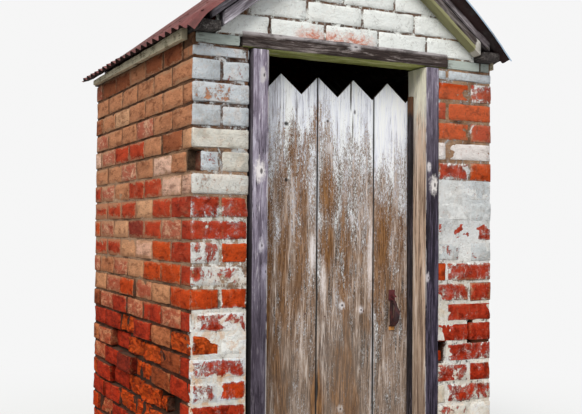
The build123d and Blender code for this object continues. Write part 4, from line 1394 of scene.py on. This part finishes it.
def addDoorBoard(name, left, right, grooves):
    piece = addBlock(name, (left, door["face"], door["foot"]), (right, door["back"], door["tip"]))
    roundEdges(piece, door["chamfer"])
    cuts = [x for x in doorTips + doorRoots if left + 0.004 < x < right - 0.004]
    cell, rise, half = door["cellAcross"], door["cellUp"], door["grooveHalf"]
    cuts += [groove + step for groove, low, deep in grooves for step in (-half, 0, half)]
    plain = np.arange(left + cell, right - 0.01, cell)
    cuts += [x for x in plain if all(abs(x - cut) > 0.005 for cut in cuts)]
    planes = [((x, 0, 0), (1, 0, 0)) for x in cuts]
    planes += [((0, 0, z), (0, 0, 1)) for z in np.arange(door["foot"] + rise, door["tip"] - rise / 2, rise)]
    editAll(piece)
    for point, normal in planes:
        bpy.ops.mesh.select_all(action="SELECT")
        bpy.ops.mesh.bisect(plane_co=point, plane_no=normal)
    stopEditing()
    spots = points(piece)
    grain = noiseAt(spots, (60, 8, 3), left * 20) * 0.0009 + noiseAt(spots, (9, 3, 2), left * 9) * 0.0012
    front = spots[:, 1] < door["face"] + 0.006
    spots[:, 1] += np.where(front, 0.0012 + grain, -0.0004)
    for groove, low, deep in grooves:
        onLine = front & (np.abs(spots[:, 0] - groove) < 0.002)
        spots[:, 1] += onLine * deep * (0.25 + 0.75 * np.clip((spots[:, 2] - low) / 0.04, 0, 1))
    rise = np.clip((spots[:, 2] - door["warpFrom"]) / (door["tip"] - door["warpFrom"]), 0, 1)
    spots[:, 2] -= rise * (door["tip"] - toothTop(spots[:, 0]))
    spots[:, 2] -= rise * np.abs(noiseAt(spots, (70, 20, 40), 5) * 0.0018)
    setPoints(piece, spots)
    shadeSmooth(piece, 35)
    return piece


# marks on the door: x and z, size, how far it is squeezed along the grain and colour
goldenMarks = ((-0.366, 1.10, 0.078, 0.08), (-0.372, 0.80, 0.060, 0.07), (-0.055, 1.50, 0.050, 0.28),
               (-0.060, 1.27, 0.042, 0.30), (0.205, 1.30, 0.045, 0.22), (-0.100, 0.62, 0.045, 0.20))
doorMarks = {
    "shade": (
        (0.020, 0.80, 0.120, 0.48, (0.165, 0.130, 0.108)), (-0.074, 0.86, 0.034, 0.14, (0.075, 0.062, 0.062)),
        (0.118, 0.88, 0.050, 0.25, (0.10, 0.078, 0.062)), (-0.235, 0.72, 0.060, 0.2, (0.14, 0.10, 0.075)),
    ),
    "pale": (
        (-0.050, 1.676, 0.020, 0.6, (0.90, 0.88, 0.90)), (-0.128, 1.245, 0.026, 0.24, (1.0, 0.95, 0.95)),
        (-0.078, 1.127, 0.019, 0.16, (1.0, 0.92, 0.90)), (0.150, 1.22, 0.019, 0.07, (1.0, 0.90, 0.87)),
        (0.060, 1.383, 0.019, 0.8, (0.90, 0.88, 0.92)), (0.012, 1.025, 0.021, 0.9, (0.95, 0.92, 0.95)),
        (0.102, 1.004, 0.018, 0.9, (0.92, 0.88, 0.92)), (0.006, 0.597, 0.020, 0.9, (0.66, 0.60, 0.57)),
        (-0.100, 0.9, 0.007, 0.05, (0.55, 0.46, 0.40)),
    ),
    "dark": (
        (-0.1025, 0.69, 0.0080, 0.10, (0.006, 0.005, 0.005)),
        (-0.192, 1.02, 0.0022, 0.003, (0.05, 0.035, 0.028)),
        (0.014, 1.024, 0.006, 0.9, (0.03, 0.018, 0.022)), (0.105, 1.002, 0.005, 0.9, (0.03, 0.018, 0.022)),
        (0.008, 0.596, 0.006, 0.9, (0.03, 0.018, 0.022)), (-0.253, 1.765, 0.0115, 1, (0.006, 0.005, 0.005)),
        (-0.250, 1.537, 0.0105, 1, (0.006, 0.005, 0.005)), (-0.060, 1.787, 0.007, 1, (0.01, 0.008, 0.008)),
        (-0.204, 1.83, 0.0035, 0.07, (0.03, 0.02, 0.02)), (0.0595, 1.77, 0.0032, 0.04, (0.03, 0.02, 0.02)),
        (0.069, 1.833, 0.007, 0.5, (0.05, 0.035, 0.03)),
    ),
}
# how much white paint is left on the way up the door, and the strength of each kind of mark
paintCover = ((0, 0.34), (0.34, 0.375), (0.5, 0.415), (0.6, 0.45), (0.72, 0.462), (0.84, 0.53), (0.92, 0.66),
              (1, 0.84))
markStrength = {"shade": 0.6, "pale": 0.85, "dark": 0.92}


def doorSpot(place, x, z, squeeze):
    return squeezedDistance(place, (1, 1, squeeze), (x, door["face"], z))


def bareDoor(place, z, fine, broad, golden):
    # grey wood with golden patches; how golden it is comes back for the paint
    wood = ramp(fine * 0.55 + broad * 0.45, (0.41, 0.03, 0.017, 0.01), (0.475, 0.2, 0.128, 0.085),
                (0.535, 0.37, 0.265, 0.2), (0.605, 0.8, 0.7, 0.64))
    rich = spread(golden, 0.48, 0.6, 0, 0.8)
    for markX, markZ, size, squeeze in goldenMarks:
        away = doorSpot(place, markX, markZ, squeeze) + wander(broad, size * 0.8)
        rich = larger(rich, spread(away, size * 0.4, size, 1, 0))
    gold = mixColor(spread(fine, 0.42, 0.6), (0.105, 0.042, 0.012), (0.33, 0.165, 0.065))
    wood = mixColor(rich, wood, gold)
    grey = spread(z, 0.6, 1.1, 0.25, 0.0) * spread(rich, 0.3, 0.9, 1, 0.2)
    return mixColor(grey, wood, (0.26, 0.22, 0.19)), rich


def paintLeft(x, z, fine, broad, flecks, patches, drift, rich):
    # white paint is left at the top and thins to flecks lower down; it holds longest on the right board
    height = z + spread(x, 0.16, 0.166, 0, 0.15) + wander(drift, 0.55)
    cover = ramp((height - 0.4) / 1.6, *((at, left, left, left) for at, left in paintCover))
    cover = cover - rich * spread(z, 1.44, 1.62, 0.095, 0.035)
    worn = flecks * 0.56 + patches * 0.22 + (fine + broad) * 0.11
    over = cover - (0.5 + wander(worn, 2.5))
    return spread(over, -0.012, 0.016), spread(over, -0.11, 0.02, 0, 0.24)


def markedDoor(place, fine, flecks, color):
    broken = {"shade": spread(fine, 0.44, 0.56, 0.9, 0.35), "pale": spread(fine, 0.44, 0.56, 1, 0.5),
              "dark": 1}
    for kind, strength in markStrength.items():
        ragged = fine + flecks - 1 if kind == "pale" else fine - 0.5
        for markX, markZ, size, squeeze, shade in doorMarks[kind]:
            away = doorSpot(place, markX, markZ, squeeze) + ragged * (size * 2.0)
            marked = spread(away, size * (0.5 if kind == "dark" else 0.2), size, strength, 0)
            color = mixColor(marked * broken[kind], color, shade)
    return color


def doorMaterial():
    material, tree = newMaterial("doorBoards", 0.85)
    place = objectPlace(tree)
    x, y, z = partsOf(place)
    fine = noiseOf(mapped(place, (1, 1, 0.05)), 250, 6, 0.72, 0.25)
    broad = noiseOf(mapped(place, (1, 1, 0.07)), 36, 5, 0.65, 0.9)
    golden = noiseOf(mapped(place, (1, 1, 0.2)), 8, 5, 0.6, 0.4)
    drift = noiseOf(mapped(place, (1, 1, 0.3)), 5.5, 5, 0.6, 0.4)
    flecks = noiseOf(mapped(place, (1, 1, 0.36)), 240, 8, 0.9, 0.0)
    patches = noiseOf(mapped(place, (1, 1, 0.22)), 24, 7, 0.72, 0.2)
    wood, rich = bareDoor(place, z, fine, broad, golden)
    mask, film = paintLeft(x, z, fine, broad, flecks, patches, drift, rich)
    paint = ramp(broad * 0.6 + fine * 0.4, (0.43, 0.97, 0.99, 1.0), (0.52, 0.88, 0.91, 1.0),
                 (0.585, 0.58, 0.59, 0.68), (0.66, 0.32, 0.28, 0.29))
    color = mixColor(larger(mask, film), wood, paint)
    # hairline splits along the grain
    lines = noiseOf(mapped(place, (1, 1, 0.025)), 120, 3, 0.5, 0.15)
    split = spread(abs(lines - 0.5), 0.0, 0.012, 1, 0)
    split = split * spread(noiseOf(mapped(place, (1, 1, 0.3)), 9, 3, 0.5), 0.46, 0.56)
    color = mixColor(split * 0.75, color, (0.07, 0.045, 0.035))
    color = markedDoor(place, fine, flecks, color)
    # painted shade in the gaps between the boards, with pale bluish strips along their arrises
    for joint in door["joints"]:
        away = abs(x - joint) + wander(golden, 0.006)
        paleStrip = spread(away, 0.006, 0.011, 0.6, 0) * spread(drift, 0.44, 0.58)
        color = mixColor(paleStrip, color, (0.66, 0.68, 0.74))
        color = mixColor(spread(away, 0.0024, 0.0048, 0.92, 0), color, (0.04, 0.05, 0.056))
    # painted shade: everything behind the boards' front face is dark, the gaps between them most of all
    color = mixColor(spread(y, -0.5968, -0.595, 1, 0), (0.035, 0.022, 0.016), color)
    return finish(material, color, fine + mask * 0.6, 0.6, 0.003)


def buildDoor():
    material = doorMaterial()
    for number, board in enumerate(door["boards"], start=1):
        piece = addDoorBoard(f"door_board_{number}_timber", *board)
        handOver(piece, material, "door", "door_timber", f"door_board_{number}")
    spots = [(x, door["face"] + 0.0012, level + 0.02 * noise.noise(Vector((x * 50, level * 30, 0))))
             for level in door["nailLevels"] for x in door["nails"]]
    nails = addNails("door_nails", spots, (0, -1, 0), door["nailHead"])
    handOver(nails, rustyNail, "door", "ironwork")


buildDoor()
print("door hung")


def stoneMaterial():
    material, tree = newMaterial("wornFloor", 0.9)
    place = objectPlace(tree)
    color = ramp(noiseOf(place, 9, 8, 0.65), (0.3, 0.1, 0.09, 0.08), (0.5, 0.22, 0.2, 0.18),
                 (0.7, 0.32, 0.3, 0.27))
    grit = noiseOf(place, 160, 4, 0.7)
    color = mixColor(spread(grit, 0.3, 0.5, 0.4, 0), color, (0.06, 0.05, 0.045))
    return finish(material, color, grit, 0.5, 0.003)


def castMaterial():
    material, tree = newMaterial("rustyCasting", 0.6, 0.4)
    place = objectPlace(tree)
    z = partsOf(place)[2]
    fine = noiseOf(place, 190, 6, 0.7)
    color = ramp(noiseOf(place, 45, 6, 0.65), (0.36, 0.018, 0.008, 0.01), (0.52, 0.042, 0.014, 0.016),
                 (0.68, 0.12, 0.028, 0.024))
    color = mixColor(spread(fine, 0.55, 0.7, 0, 0.4), color, (0.22, 0.07, 0.04))
    # the thumb latch: redder plate, orange rust on its lowest lug
    latch = spread(z, 0.9, 0.91) * spread(z, 1.09, 1.1, 1, 0)
    color = mixColor(latch * spread(z, 1.035, 1.045, 0, 0.6), color, (0.13, 0.018, 0.022))
    orange = mixColor(fine, (0.36, 0.12, 0.03), (0.8, 0.42, 0.12))
    color = mixColor(latch * spread(z, 0.924, 0.93, 0.9, 0), color, orange)
    return finish(material, color, fine, 0.5, 0.0015)


def dressNodes():
    ledges = "bottom_ledge", "middle_ledge", "top_ledge", "door_braces"
    dressed = {
        stoneMaterial(): ("floor_slab", "door_sill"),
        castMaterial(): ("lower_band", "upper_band", "lower_hook", "upper_hook", "latch_plate", "latch_grip",
                         "latch_thumb"),
        stopTimber: ("left_door_stop", "right_door_stop"),
        insideTimber: ("left_battens", "right_battens", *ledges),
        rustyIron: ("ridge_cap",),
    }
    for material, nodes in dressed.items():
        for node in nodes:
            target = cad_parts[node]
            target.data.materials.clear()
            target.data.materials.append(material)


dressNodes()
print("nodes dressed")
